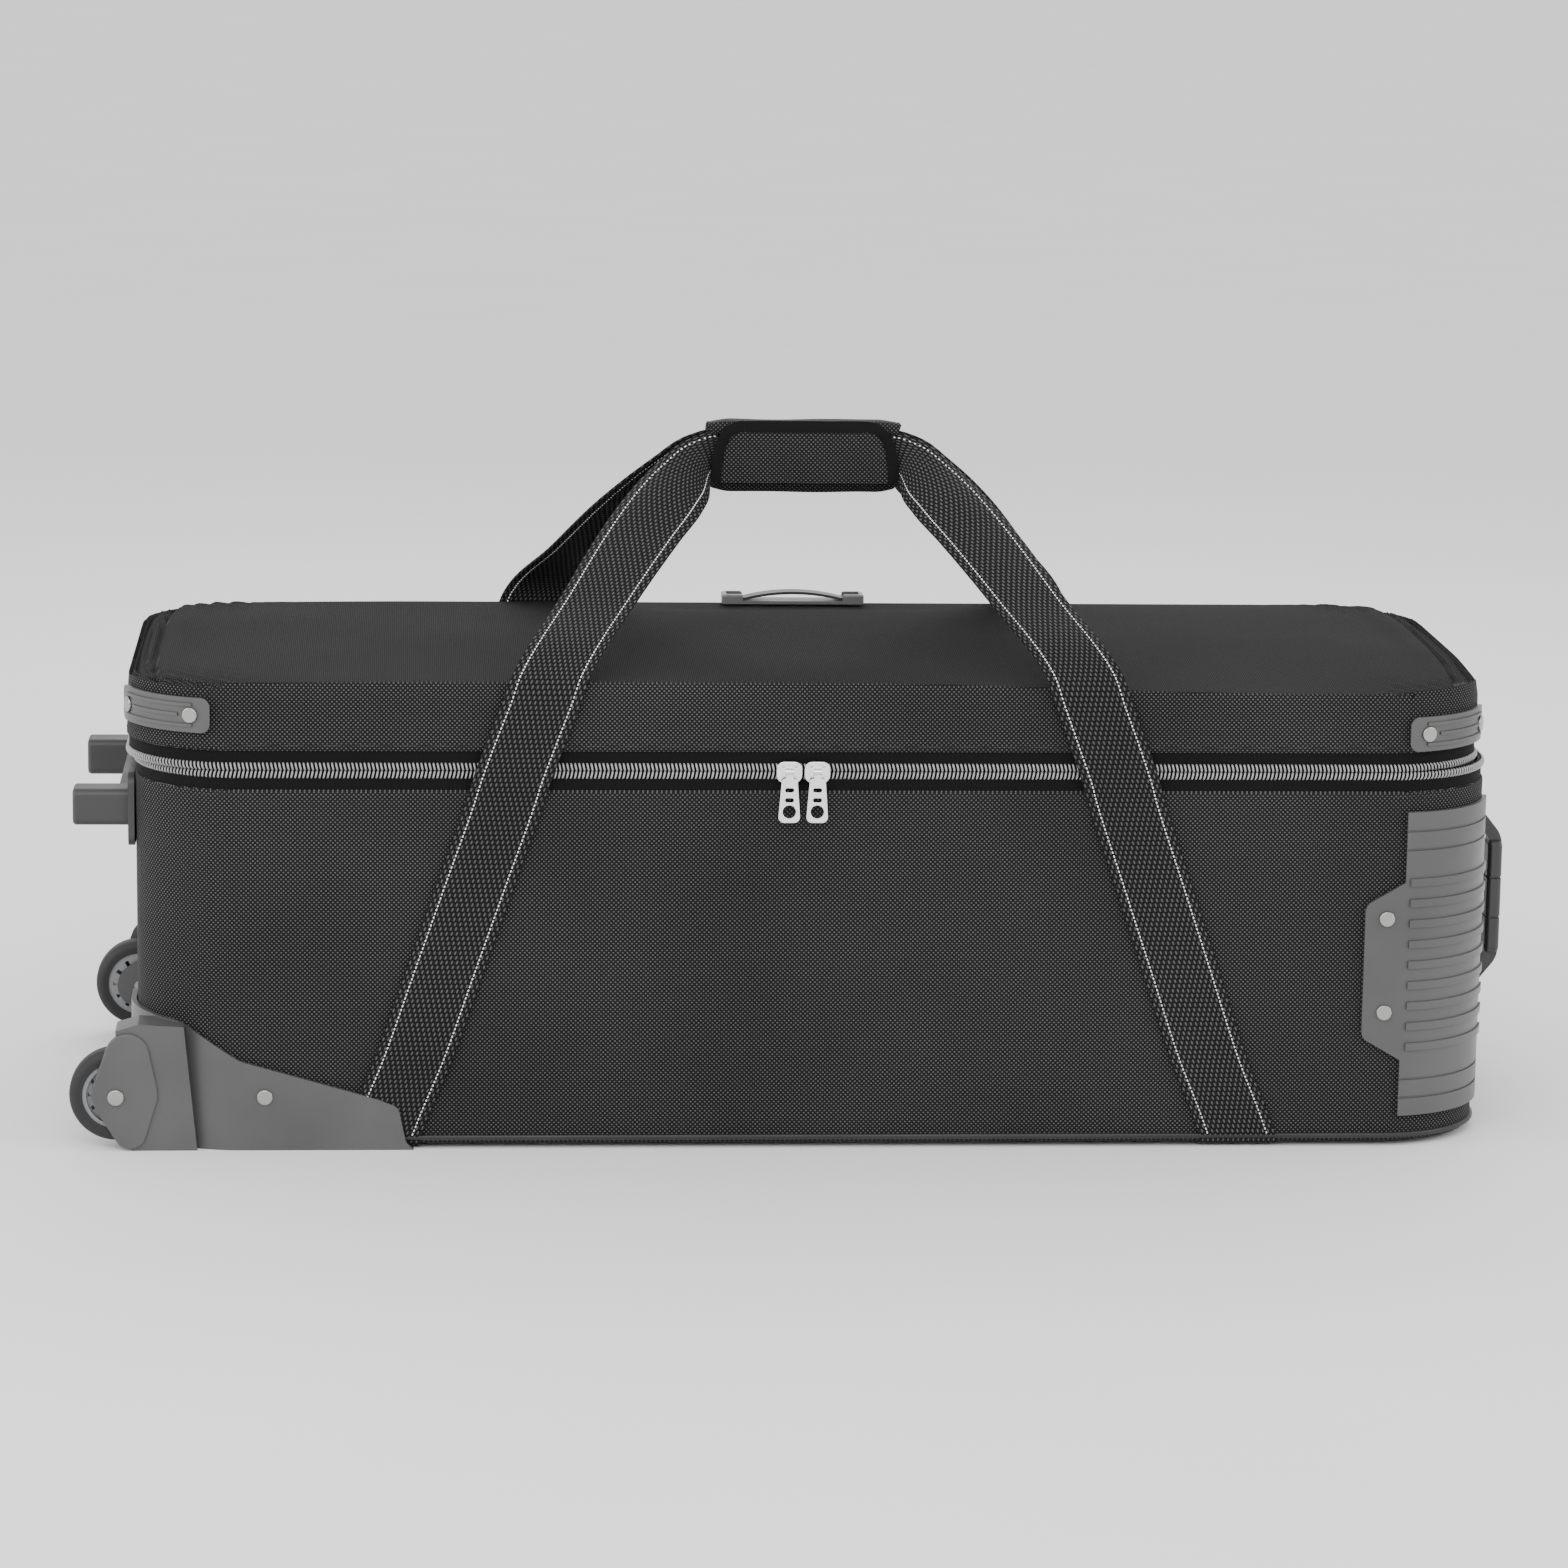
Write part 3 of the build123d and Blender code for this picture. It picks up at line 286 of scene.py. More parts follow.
# %% Metals
def plated(name, colour, rough, scratch):
    """Plated metal: polished, with streaks that vary the gloss."""
    made, tree, bsdf = new_material(name, metallic=1.0, base_color=srgb(colour))
    place = add(tree, "TexCoord").outputs["Object"]
    longways = add(tree, "Mapping", None, vector=place, scale=(120.0, 120.0, 900.0))
    streaks = add(tree, "TexNoise", None, vector=longways.outputs[0], scale=1.0, detail=3.0).outputs[0]
    gloss = add(tree, "MapRange", None, in0=streaks, in1=0.3, in2=0.7, in3=rough, in4=rough + 0.12)
    tree.links.new(gloss.outputs[0], bsdf.inputs["Roughness"])
    relief = add(tree, "Bump", None, height=streaks, strength=scratch, distance=0.00005)
    tree.links.new(relief.outputs[0], bsdf.inputs["Normal"])
    return made


rivet_nickel = plated("nickel_plate", "#a2a2a0", 0.22, 0.2)
bright_chrome = plated("chrome_plate", "#f0f0f0", 0.08, 0.1)

floor_paint, floor_tree, floor_bsdf = new_material("studio_floor", roughness=0.8)
floor_place = add(floor_tree, "TexCoord").outputs["Object"]
floor_mist = add(floor_tree, "TexNoise", None, vector=floor_place, scale=3.0).outputs[0]
floor_tone = add(floor_tree, "MixRGB", None, in0=floor_mist, in1=srgb("#f1f1f1"), in2=srgb("#f7f7f7"))
floor_tree.links.new(floor_tone.outputs[0], floor_bsdf.inputs["Base Color"])
floor.data.materials.append(floor_paint)
print("materials made:", len(bpy.data.materials))

# %% [markdown]
# ## Modelling helpers
# Every new piece starts from a primitive at its size and place. An operator acts on all that
# is selected, so each helper first deselects everything and then picks faces or edges by
# their place or normal. Boards and trays start as a plane whose corners are rounded by a
# vertex bevel. The plane is then drawn up, in and out, ring by ring, as one draws a section.

# %% Pick, edit and draw a section
def free():
    """Leaves edit mode with nothing selected."""
    if bpy.context.mode != "OBJECT":
        bpy.ops.object.mode_set(mode="OBJECT")
    bpy.ops.object.select_all(action="DESELECT")


def hold(obj):
    """Makes obj the only thing selected, and active."""
    free()
    obj.select_set(True)
    bpy.context.view_layer.objects.active = obj


def pick_faces(obj, test):
    """Edit mode with the faces selected whose centre and normal pass the test."""
    hold(obj)
    mesh = obj.data
    mesh.vertices.foreach_set("select", [False] * len(mesh.vertices))
    mesh.edges.foreach_set("select", [False] * len(mesh.edges))
    mesh.polygons.foreach_set("select", [bool(test(f.center, f.normal)) for f in mesh.polygons])
    bpy.context.tool_settings.mesh_select_mode = (False, False, True)
    bpy.ops.object.mode_set(mode="EDIT")


def rounded_plate(name, low, high, radius, height, segments=14):
    """A flat face with rounded corners, from (x, y) low to high."""
    free()
    middle = ((low[0] + high[0]) / 2, (low[1] + high[1]) / 2, height)
    bpy.ops.mesh.primitive_plane_add(size=1.0, location=middle)
    obj = bpy.context.object
    obj.name = name
    obj.scale = (high[0] - low[0], high[1] - low[1], 1.0)
    bpy.ops.object.transform_apply(location=True, rotation=True, scale=True)
    bpy.ops.object.mode_set(mode="EDIT")
    bpy.ops.mesh.select_all(action="SELECT")
    bpy.ops.mesh.bevel(offset=radius, segments=segments, affect="VERTICES")
    return obj


def draw_section(obj, steps):
    """Draws the selected face through (rise, inwards) steps in metres. Minus goes down or out."""
    for rise, inwards in steps:
        if inwards > 0 and rise == 0:
            bpy.ops.mesh.inset(thickness=inwards, use_even_offset=True)
            continue
        bpy.ops.mesh.extrude_region_move(TRANSFORM_OT_translate={"value": (0, 0, rise)})
        if inwards:
            shrink_x, shrink_y = (1 - inwards / obj["half_x"], 1 - inwards / obj["half_y"])
            bpy.ops.transform.resize(value=(shrink_x, shrink_y, 1.0))


def tidy_normals(obj):
    """Merges doubles and turns every face outwards."""
    hold(obj)
    bpy.ops.object.mode_set(mode="EDIT")
    bpy.ops.mesh.select_all(action="SELECT")
    bpy.ops.mesh.remove_doubles(threshold=0.00002)
    bpy.ops.mesh.normals_make_consistent(inside=False)
    free()


def slice_up(obj, axis, places):
    """Cuts edge rings right round the piece at the given places along one axis."""
    hold(obj)
    bpy.ops.object.mode_set(mode="EDIT")
    direction = [float(i == axis) for i in range(3)]
    for place in places:
        bpy.ops.mesh.select_all(action="SELECT")
        bpy.ops.mesh.bisect(plane_co=[place * d for d in direction], plane_no=direction)
    free()


def points_of(obj):
    """The piece's vertices as an array."""
    co = np.empty(len(obj.data.vertices) * 3)
    obj.data.vertices.foreach_get("co", co)
    return co.reshape(-1, 3)


def push(obj, co):
    """Puts the vertices back where the array says, as a sculptor moves them."""
    obj.data.vertices.foreach_set("co", np.asarray(co, float).ravel())
    obj.data.update()


def use_modifier(obj, kind, **settings):
    """Adds a modifier, sets it and applies it."""
    hold(obj)
    made = obj.modifiers.new(kind.lower(), kind)
    for key, value in settings.items():
        setattr(made, key, value)
    bpy.ops.object.modifier_apply(modifier=made.name)


def smooth_round(obj, degrees=40):
    """Smooth shading that keeps edges sharper than the angle."""
    hold(obj)
    bpy.ops.object.shade_smooth_by_angle(angle=math.radians(degrees))
    free()


def finish_piece(obj, material, body, slot_name, *stands_for):
    """Gives a piece its finish, its body and the CAD nodes it stands for."""
    obj.data.materials.clear()
    obj.data.materials.append(material)
    if body:
        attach(obj, body)
    if stands_for:
        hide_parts(*stands_for)
    print(obj.name, "faces", len(obj.data.polygons))


def cloth_layer(obj):
    """One UV map, named cloth, in place of the one that the primitive came with."""
    while obj.data.uv_layers:
        obj.data.uv_layers.remove(obj.data.uv_layers[0])
    return obj.data.uv_layers.new(name="cloth")


def swell(t):
    """0 to 1 and smooth at both ends."""
    t = np.clip(t, 0.0, 1.0)
    return t * t * (3 - 2 * t)


def ripple(co, scale, seed):
    """A slow random wave over space, always the same for one seed."""
    wave = np.random.default_rng(seed)
    total = np.zeros(len(co))
    for _ in range(6):
        direction = wave.normal(size=3)
        total += np.sin(co @ direction * scale + wave.uniform(0, 6.28))
    return total / 6


# %% [markdown]
# ## Round the case
# The cloth, the zip and the foam all follow one outline: a rectangle with rounded corners.
# A distance s runs round it from the middle of the front, plus towards the handle end. The
# same distance is the cloth's warp coordinate, so the weave turns the corners as cloth does.

# %% The outline and the wrapped UV map
def outline_at(s, centre_x, half_x, half_y, radius):
    """Point and outward normal at distance s round a rounded rectangle."""
    turn = 1.0 if s >= 0 else -1.0
    s = abs(s)
    long_run, short_run, arc = half_x - radius, 2 * (half_y - radius), radius * math.pi / 2
    if s < long_run:
        x, y, nx, ny = s, -half_y, 0.0, -1.0
    elif s < long_run + arc:
        a = (s - long_run) / radius
        nx, ny = math.sin(a), -math.cos(a)
        x, y = long_run + radius * nx, -(half_y - radius) + radius * ny
    elif s < long_run + arc + short_run:
        x, y, nx, ny = half_x, -(half_y - radius) + s - long_run - arc, 1.0, 0.0
    elif s < long_run + 2 * arc + short_run:
        a = (s - long_run - arc - short_run) / radius
        nx, ny = math.cos(a), math.sin(a)
        x, y = long_run + radius * nx, half_y - radius + radius * ny
    else:
        x, y, nx, ny = long_run - (s - long_run - 2 * arc - short_run), half_y, 0.0, 1.0
    return (centre_x + turn * x, y), (turn * nx, ny)


def wrap_uv(obj, centre_x, half_x, half_y, radius):
    """UV in metres: round the outline and up on the walls, x and y on flat faces."""
    mesh = obj.data
    layer = cloth_layer(obj)
    co = points_of(obj)
    x, y = co[:, 0] - centre_x, co[:, 1]
    across = np.abs(x)
    long_run, deep, arc = half_x - radius, half_y - radius, radius * math.pi / 2
    front_turn = radius * np.arctan2(np.maximum(across - long_run, 0), np.maximum(-y - deep, 1e-6))
    front = np.where(across < long_run, across, long_run + front_turn)
    back_turn = radius * np.arctan2(np.maximum(y - deep, 0), np.maximum(across - long_run, 1e-6))
    back = np.where(across < long_run, long_run + 2 * arc + 2 * deep + long_run - across,
                    long_run + arc + 2 * deep + back_turn)
    s = np.where(y < -deep, front, np.where(y > deep, back, long_run + arc + y + deep)) * np.sign(x + 1e-9)
    half_round = 2 * (long_run + arc + deep)
    flat = np.empty((len(mesh.loops), 2))
    for face in mesh.polygons:
        off_middle = face.center.x - centre_x
        back_middle = face.center.y > deep and abs(off_middle) < long_run / 2
        for loop in face.loop_indices:
            v = mesh.loops[loop].vertex_index
            if abs(face.normal.z) > 0.6:
                flat[loop] = co[v, 0], co[v, 1]
            elif back_middle:
                flat[loop] = math.copysign(half_round, off_middle) - x[v], co[v, 2]
            else:
                flat[loop] = s[v], co[v, 2]
    layer.data.foreach_set("uv", flat.ravel())


shell_low, shell_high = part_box("body_shell")
case_x = (shell_low.x + shell_high.x) / 2
half_long, half_deep = (shell_high.x - shell_low.x) / 2, shell_high.y
corner = 0.085
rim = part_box("zip_tape_lower")[0].z
lip_top = shell_high.z
base = shell_low.z
print("case middle", round(case_x, 4), "half sizes", round(half_long, 3), round(half_deep, 3))

# %% [markdown]
# ## Case cloth
# The real wall is nylon cloth glued over a stiff board, five millimetres thick, with a soft
# roll at the base and a step at the rim where the zip tape is sewn on. One section drawn
# round the outline gives all of that in one closed shell. Cuts across it then let the long
# walls breathe: cloth over board is never dead flat, so it sinks a little between its fixings.

# %% Case cloth
edge = 0.006
case_cloth = rounded_plate("case_cloth", (shell_low.x + edge, -half_deep + edge),
                           (shell_high.x - edge, half_deep - edge), corner - edge, base)
case_cloth["half_x"], case_cloth["half_y"] = half_long - edge, half_deep - edge
draw_section(case_cloth, [(0.0008, -0.0026), (0.0017, -0.0022), (0.0035, -0.0012)])
draw_section(case_cloth, [(rim - base - 0.0085, 0.0), (0.0015, 0.0003), (0.001, 0.0008)])
board_thick = 0.0026
floor_thick = 0.005
draw_section(case_cloth, [(0.0, 0.0012), (lip_top - rim, 0.0)])
draw_section(case_cloth, [(0.0, board_thick), (base + floor_thick - lip_top, 0.0)])
tidy_normals(case_cloth)
slice_up(case_cloth, 2, np.arange(base + 0.02, rim - 0.006, 0.014))
slice_up(case_cloth, 0, np.arange(shell_low.x + corner, shell_high.x - corner + 0.001, 0.0148))
slice_up(case_cloth, 1, np.arange(-half_deep + corner, half_deep - corner + 0.001, 0.0166))
co = points_of(case_cloth)
# A scaled section is a little too full at the corners, so each is drawn back to a true arc.
across, deep_out = np.abs(co[:, 0] - case_x), np.abs(co[:, 1])
arm_x, arm_y = across - half_long + corner, deep_out - half_deep + corner
reach = np.maximum(np.hypot(arm_x, arm_y), 1e-6)
fullness = np.maximum((arm_x * across / half_long + arm_y * deep_out / half_deep) / reach, 0.5)
arc_start = corner - edge
pull_in = (arc_start + (reach - arc_start) / fullness - reach) / reach
pull_in = pull_in * ((arm_x > 0) & (arm_y > 0) & (reach > arc_start - 0.012))
co[:, 0] += np.sign(co[:, 0] - case_x) * arm_x * pull_in
co[:, 1] += np.sign(co[:, 1]) * arm_y * pull_in
high_up = swell((co[:, 2] - base) / 0.05) * swell((rim - 0.004 - co[:, 2]) / 0.05)
outer_wall = np.maximum(np.abs(co[:, 0] - case_x) - half_long, np.abs(co[:, 1]) - half_deep) > -0.0012
sink = (0.0007 + 0.0008 * ripple(co, 9.0, 3)) * high_up * outer_wall
co[:, 1] -= np.sign(co[:, 1]) * sink * (np.abs(co[:, 1]) > half_deep - 0.001)
co[:, 0] -= np.sign(co[:, 0] - case_x) * sink * (np.abs(co[:, 0] - case_x) > half_long - 0.001)
push(case_cloth, co)
wrap_uv(case_cloth, case_x, half_long, half_deep, corner)
smooth_round(case_cloth)
finish_piece(case_cloth, case_weave, "case", "shell_fabric", "body_shell")

# %% [markdown]
# ## Zip tapes
# Each side of the zip is a flat tape sewn under the edge of the cloth, from one end of the
# hinge round the front to the other. A ring is drawn up, its flat faces and the part behind
# the hinge are deleted, and a Solidify modifier gives the tape its thickness.

# %% Zip tapes
def ring_strip(name, low, high, radius, bottom, height, thickness, cut_behind, cut_half):
    """A band round an outline, open at the back where the hinge is."""
    obj = rounded_plate(name, low, high, radius, bottom)
    bpy.ops.mesh.extrude_region_move(TRANSFORM_OT_translate={"value": (0, 0, height)})
    free()
    pick_faces(obj, lambda c, n: abs(n.z) > 0.5)
    bpy.ops.mesh.delete(type="FACE")
    free()
    middle = (low[0] + high[0]) / 2
    slice_up(obj, 0, [middle - cut_half, middle + cut_half])
    slice_up(obj, 0, np.arange(low[0] + radius, high[0] - radius, 0.03))
    pick_faces(obj, lambda c, n: c.y > cut_behind and abs(c.x - middle) < cut_half)
    bpy.ops.mesh.delete(type="FACE")
    tidy_normals(obj)
    use_modifier(obj, "SOLIDIFY", thickness=thickness, offset=-1.0)
    return obj


hinge_low, hinge_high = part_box("hinge_band_lower")
hinge_half = (hinge_high.x - hinge_low.x) / 2
for side_name, body in (("lower", "case"), ("upper", "lid")):
    low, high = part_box("zip_tape_" + side_name)
    inset_radius = corner - (half_deep - high.y)
    tape = ring_strip("zip_tape_cloth_" + side_name, low, high, inset_radius, low.z, high.z - low.z,
                      0.0008, half_deep - 0.01, hinge_half)
    middle_x = (low.x + high.x) / 2
    wrap_uv(tape, middle_x, (high.x - low.x) / 2, high.y, inset_radius)
    smooth_round(tape)
    finish_piece(tape, tape_weave, body, "zip_tape", "zip_tape_" + side_name)

# %% [markdown]
# ## Repeated small things
# Coils and stitches are modelled once, with a few dozen faces, and set along a path. The
# path gives a place, a direction along it and a direction out of the surface. All the
# copies of one row are one mesh, because one row is one thing on the real object.

# %% Set copies along a path
def set_along(name, one, frames):
    """One mesh of copies of a small piece: its X goes along each frame and its -Y points out."""
    local = points_of(one)
    faces = [tuple(f.vertices) for f in one.data.polygons]
    places, solid = [], []
    for i, (point, along, out) in enumerate(frames):
        up = np.cross(along, -out)
        places.append(np.array(point) + local @ np.array([along, -out, up]))
        solid += [tuple(v + i * len(local) for v in f) for f in faces]
    mesh = bpy.data.meshes.new(name)
    mesh.from_pydata(np.concatenate(places).tolist(), [], solid)
    mesh.polygons.foreach_set("use_smooth", [True] * len(mesh.polygons))
    obj = bpy.data.objects.new(name, mesh)
    bpy.context.scene.collection.objects.link(obj)
    return obj


# %% [markdown]
# ## Zip coils
# A coil zip is one nylon wire wound on the tape edge. Each turn shows as a small slanting
# arch. A six-sided ring is spun half round to make one arch six millimetres wide, leaned
# over, and set every 3.1 millimetres. The upper row leans the other way and sits half a
# step along, so that the turns mesh.

# %% One arch, then two rows
coil_wire, coil_half, coil_step = 0.00085, 0.0024, 0.0031
free()
bpy.ops.mesh.primitive_circle_add(vertices=6, radius=coil_wire, location=(0, 0, coil_half),
                                  rotation=(math.pi / 2, 0, 0))
arch = bpy.context.object
bpy.ops.object.transform_apply(location=True, rotation=True, scale=True)
bpy.ops.object.mode_set(mode="EDIT")
bpy.ops.mesh.select_all(action="SELECT")
bpy.ops.mesh.spin(steps=7, angle=-math.pi, center=(0, 0, 0), axis=(1, 0, 0))
tidy_normals(arch)
if points_of(arch)[:, 1].min() > -0.001:
    co = points_of(arch)
    co[:, 1] *= -1
    push(arch, co)
    tidy_normals(arch)
for side_name, body, lean in (("lower", "case", 0.22), ("upper", "lid", -0.22)):
    low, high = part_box("zip_chain_" + side_name)
    one = arch.copy()
    one.data = arch.data.copy()
    co = points_of(one)
    co[:, 1] *= 0.72
    co[:, 0] += lean * co[:, 2]
    push(one, co)
    centre_x, reach_x, reach_y = (low.x + high.x) / 2, (high.x - low.x) / 2 - 0.0021, high.y - 0.0021
    radius = corner - (half_deep - reach_y)
    half_way = 2 * (reach_x - radius) + math.pi * radius + 2 * (reach_y - radius) - hinge_half
    half_way += 0.0016 if lean > 0 else 0
    frames = []
    for s in np.arange(-half_way + coil_step * (0.5 if lean < 0 else 0), half_way, coil_step):
        (px, py), (nx, ny) = outline_at(s, centre_x, reach_x, reach_y, radius)
        frames.append(((px, py, (low.z + high.z) / 2), np.array((-ny, nx, 0.0)), np.array((nx, ny, 0.0))))
    row = set_along("zip_coils_" + side_name, one, frames)
    tidy_normals(row)
    finish_piece(row, coil_nylon, body, "zip_coil", "zip_chain_" + side_name)
    bpy.data.objects.remove(one)
    print(side_name, "turns", len(frames))
bpy.data.objects.remove(arch)

# %% [markdown]
# ## Lid cloth
# The lid is a shallow cap: a band round its edge and a soft top panel sewn in along a
# crease. The same kind of section is drawn for it, wall and hollow in one closed shell. Fine
# cuts near the ends carry the seams there: the panel stops short of each end, and two soft
# rolls of spare cloth lie between it and the band, running together at the corners.

# %% Lid cloth
def end_seams(x, y):
    """Share of the depth, the seam's distance from the end, the point's own, and how far cloth sinks."""
    deep_way = np.clip(np.abs(y) / 0.176, 0, 1.2)
    seam = 0.020 + 0.008 * deep_way ** 4
    second = seam - 0.0085 * np.sqrt(np.clip(1.02 - deep_way ** 2, 0, 1))
    from_end = half_long - np.abs(x)
    inside = deep_way < 1.17
    groove = 0.0048 * np.exp(-((from_end - seam) / 0.0024) ** 2)
    groove += 0.0036 * np.exp(-((from_end - second) / 0.0021) ** 2)
    fall = 0.010 * swell((second + 0.003 - from_end) / 0.016) * np.clip(1.1 - deep_way ** 3, 0, 1)
    return deep_way, seam, from_end, -(groove + fall) * inside


def lid_droop(x, y):
    """How far the panel sags: most at its front corner by the handle end, a little at the wheel end."""
    return -0.0075 * swell((x - 0.02) / 0.36) * swell((-0.02 - y) / 0.17) - 0.0015 * swell((-x - 0.3) / 0.2)


lid_low, lid_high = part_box("lid_shell")
lid_x = (lid_low.x + lid_high.x) / 2
lid_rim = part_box("zip_tape_upper")[1].z
step_in = 0.0019
lid_cloth = rounded_plate("lid_cloth", (lid_low.x + step_in, -half_deep + step_in),
                          (lid_high.x - step_in, half_deep - step_in), corner - step_in, lid_low.z)
lid_cloth["half_x"], lid_cloth["half_y"] = half_long - step_in, half_deep - step_in
draw_section(lid_cloth, [(lid_rim - lid_low.z, 0.0), (0.0002, -0.0012), (0.001, -0.0007)])
draw_section(lid_cloth, [(0.353 - lid_rim - 0.0012, 0.0006), (0.0095, 0.0012), (0.004, 0.0022)])
draw_section(lid_cloth, [(0.0, 0.0012), (-0.0012, 0.0004), (0.0014, 0.0006)])
draw_section(lid_cloth, [(0.0, 0.003), (0.0, 0.006), (0.0, 0.01)])
tidy_normals(lid_cloth)
pick_faces(lid_cloth, lambda c, n: abs(n.z) > 0.9 and c.z < lid_low.z + 0.001)
lid_wall = 0.0028
lid_hollow = 0.0625
bpy.ops.mesh.inset(thickness=lid_wall, use_even_offset=True)
bpy.ops.mesh.extrude_region_move(TRANSFORM_OT_translate={"value": (0, 0, lid_hollow)})
tidy_normals(lid_cloth)
slice_up(lid_cloth, 2, [0.321, 0.328, 0.335, 0.342, 0.348])
near_end = np.arange(0.006, 0.09, 0.0026)
slice_up(lid_cloth, 0, np.concatenate((lid_low.x + near_end, lid_high.x - near_end,
                                       np.arange(lid_low.x + 0.1, lid_high.x - 0.095, 0.0125))))
slice_up(lid_cloth, 1, np.arange(-0.196, 0.197, 0.0098))

co = points_of(lid_cloth)
x, y, z = co[:, 0] - lid_x, co[:, 1], co[:, 2]
outside = (z > 0.3626) | (np.maximum(np.abs(x) - half_long, np.abs(y) - half_deep) > -0.0046)
to_edge = np.minimum(half_long - np.abs(x), half_deep - np.abs(y))
panel = swell((z - 0.3658) / 0.0006) * outside
deep_way, seam, from_end, sunk = end_seams(x, y)
crown = np.clip(np.cos(y * math.pi / 0.392), 0, 1) ** 0.8 * swell((from_end - 0.012) / 0.11)
crown *= 0.0055 + 0.0035 * swell((x + 0.3) / 0.6)
crown *= 1 - swell((y - 0.12) / 0.04) * swell((0.13 - np.abs(x - 0.008)) / 0.05)
pillow = 0.0035 * np.exp(-((from_end - seam - 0.013) / 0.011) ** 2) * np.clip(1.15 - deep_way ** 2, 0, 1)
pucker = 0.0011 * np.sin((x + y) * 310) * np.exp(-((from_end - 0.06) / 0.04) ** 2)
pucker *= swell((deep_way - 0.55) / 0.4)
slack = 0.0012 * ripple(co, 14.0, 8) * swell(to_edge / 0.05)
co[:, 2] += panel * (crown + pillow + sunk + pucker + slack)
under_panel = (np.abs(z - lid_low.z - lid_hollow) < 0.0004) & ~outside
droop = lid_droop(x, y)
co[:, 2] += (sunk + droop) * under_panel
co[:, 2] += droop * swell((z - 0.335) / 0.03) * outside
sag_wall = (0.0006 + 0.0009 * ripple(co, 11.0, 5)) * swell((z - 0.318) / 0.012) * swell((0.362 - z) / 0.012)
long_wall, end_wall = np.abs(y) > half_deep - 0.003, np.abs(x) > half_long - 0.003
co[:, 1] -= np.sign(y) * sag_wall * long_wall * outside
co[:, 0] -= np.sign(x) * sag_wall * end_wall * outside
push(lid_cloth, co)
wrap_uv(lid_cloth, lid_x, half_long, half_deep, corner)
smooth_round(lid_cloth, 50)
finish_piece(lid_cloth, case_weave, "lid", "shell_fabric", "lid_shell")
# The faces that look up take the paler copy of the cloth: painted sheen on the lid's top panel.
lid_cloth.data.materials.append(lid_painted_sheen_weave)
for face in lid_cloth.data.polygons:
    face.material_index = int(face.center.z > 0.358 and face.normal.z > 0.55)

# %% [markdown]
# ## Stitching
# A stitch is a short fat thread lying on the cloth. One ball squeezed to a grain of rice, two
# millimetres long, stands for it. Dark rows run beside the zip, and the webbing carries the
# white ones, 3.2 millimetres apart.

# %% One stitch, and the rows beside the zip
free()
bpy.ops.mesh.primitive_uv_sphere_add(segments=6, ring_count=4, radius=1.0, rotation=(0, math.pi / 2, 0))
stitch = bpy.context.object
stitch.scale = (0.00062, 0.00048, 0.0010)
bpy.ops.object.transform_apply(location=True, rotation=True, scale=True)
co = points_of(stitch)
long_axis = int(np.argmax(np.ptp(co, axis=0)))
push(stitch, np.roll(co, -long_axis, axis=1))
stitch_step = 0.0032
for name, body, centre_x, height in (("case_seam_thread", "case", case_x, rim - 0.0042),
                                     ("lid_seam_thread", "lid", lid_x, lid_rim + 0.0046)):
    frames = []
    half_way = 2 * (half_long - corner) + math.pi * corner + 2 * (half_deep - corner) - hinge_half
    for s in np.arange(-half_way, half_way, stitch_step):
        (px, py), (nx, ny) = outline_at(s, centre_x, half_long - 0.0003, half_deep - 0.0003, corner)
        frames.append(((px, py, height), np.array((-ny, nx, 0.0)), np.array((nx, ny, 0.0))))
    finish_piece(set_along(name, stitch, frames), thread_black, body, "shell_fabric")

# %% [markdown]
# ## Carry straps and loops
# One length of webbing, 60 millimetres wide, runs under the case and up each side. It is sewn
# to the cloth as far as the zip, then hangs free, leans in over the lid and turns on its edge
# to enter the grip. Each half is a grid laid along two edge lines, given by a few stations,
# and thickened by Solidify. The pieces are left on no body, where they lie with the lid shut.

# %% Webbing along stations
strap_box = {-1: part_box("carry_strap_wheel_end"), 1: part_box("carry_strap_handle_end")}
foot_x = strap_box[1][1].x - 0.0303
rim_x = strap_box[1][0].x + 0.0303
loop_low, loop_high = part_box("carry_loop_front")
strap_half = 0.0303
thick = 0.0023
# Each station: outer edge and inner edge as (x, y, z), then how far the middle bows out.
free_run = [
    ((0.2668, -0.2048, 0.2870), (0.2062, -0.2048, 0.2870), 0.0),
    ((0.2560, -0.2049, 0.3180), (0.1950, -0.2049, 0.3180), 0.0004),
    ((0.2430, -0.2049, 0.3520), (0.1825, -0.2049, 0.3520), 0.0006),
    ((0.2350, -0.2010, 0.3740), (0.1745, -0.2010, 0.3740), 0.0010),
    ((0.1980, -0.1370, 0.4215), (0.1365, -0.1370, 0.4215), 0.0020),
    ((0.1665, -0.0800, 0.4630), (0.1020, -0.0850, 0.4600), 0.0035),
    ((0.1420, -0.0430, 0.4900), (0.0840, -0.0570, 0.4780), 0.0075),
    ((0.1180, -0.0200, 0.5120), (0.0770, -0.0330, 0.4880), 0.0090),
    ((0.0960, -0.0110, 0.5290), (0.0755, -0.0170, 0.4990), 0.0055),
    ((0.0720, -0.0090, 0.5370), (0.0700, -0.0100, 0.5050), 0.0015),
    ((0.0350, -0.0090, 0.5385), (0.0350, -0.0090, 0.5045), 0.0),
    ((0.0004, -0.0090, 0.5385), (0.0004, -0.0090, 0.5045), 0.0),
]


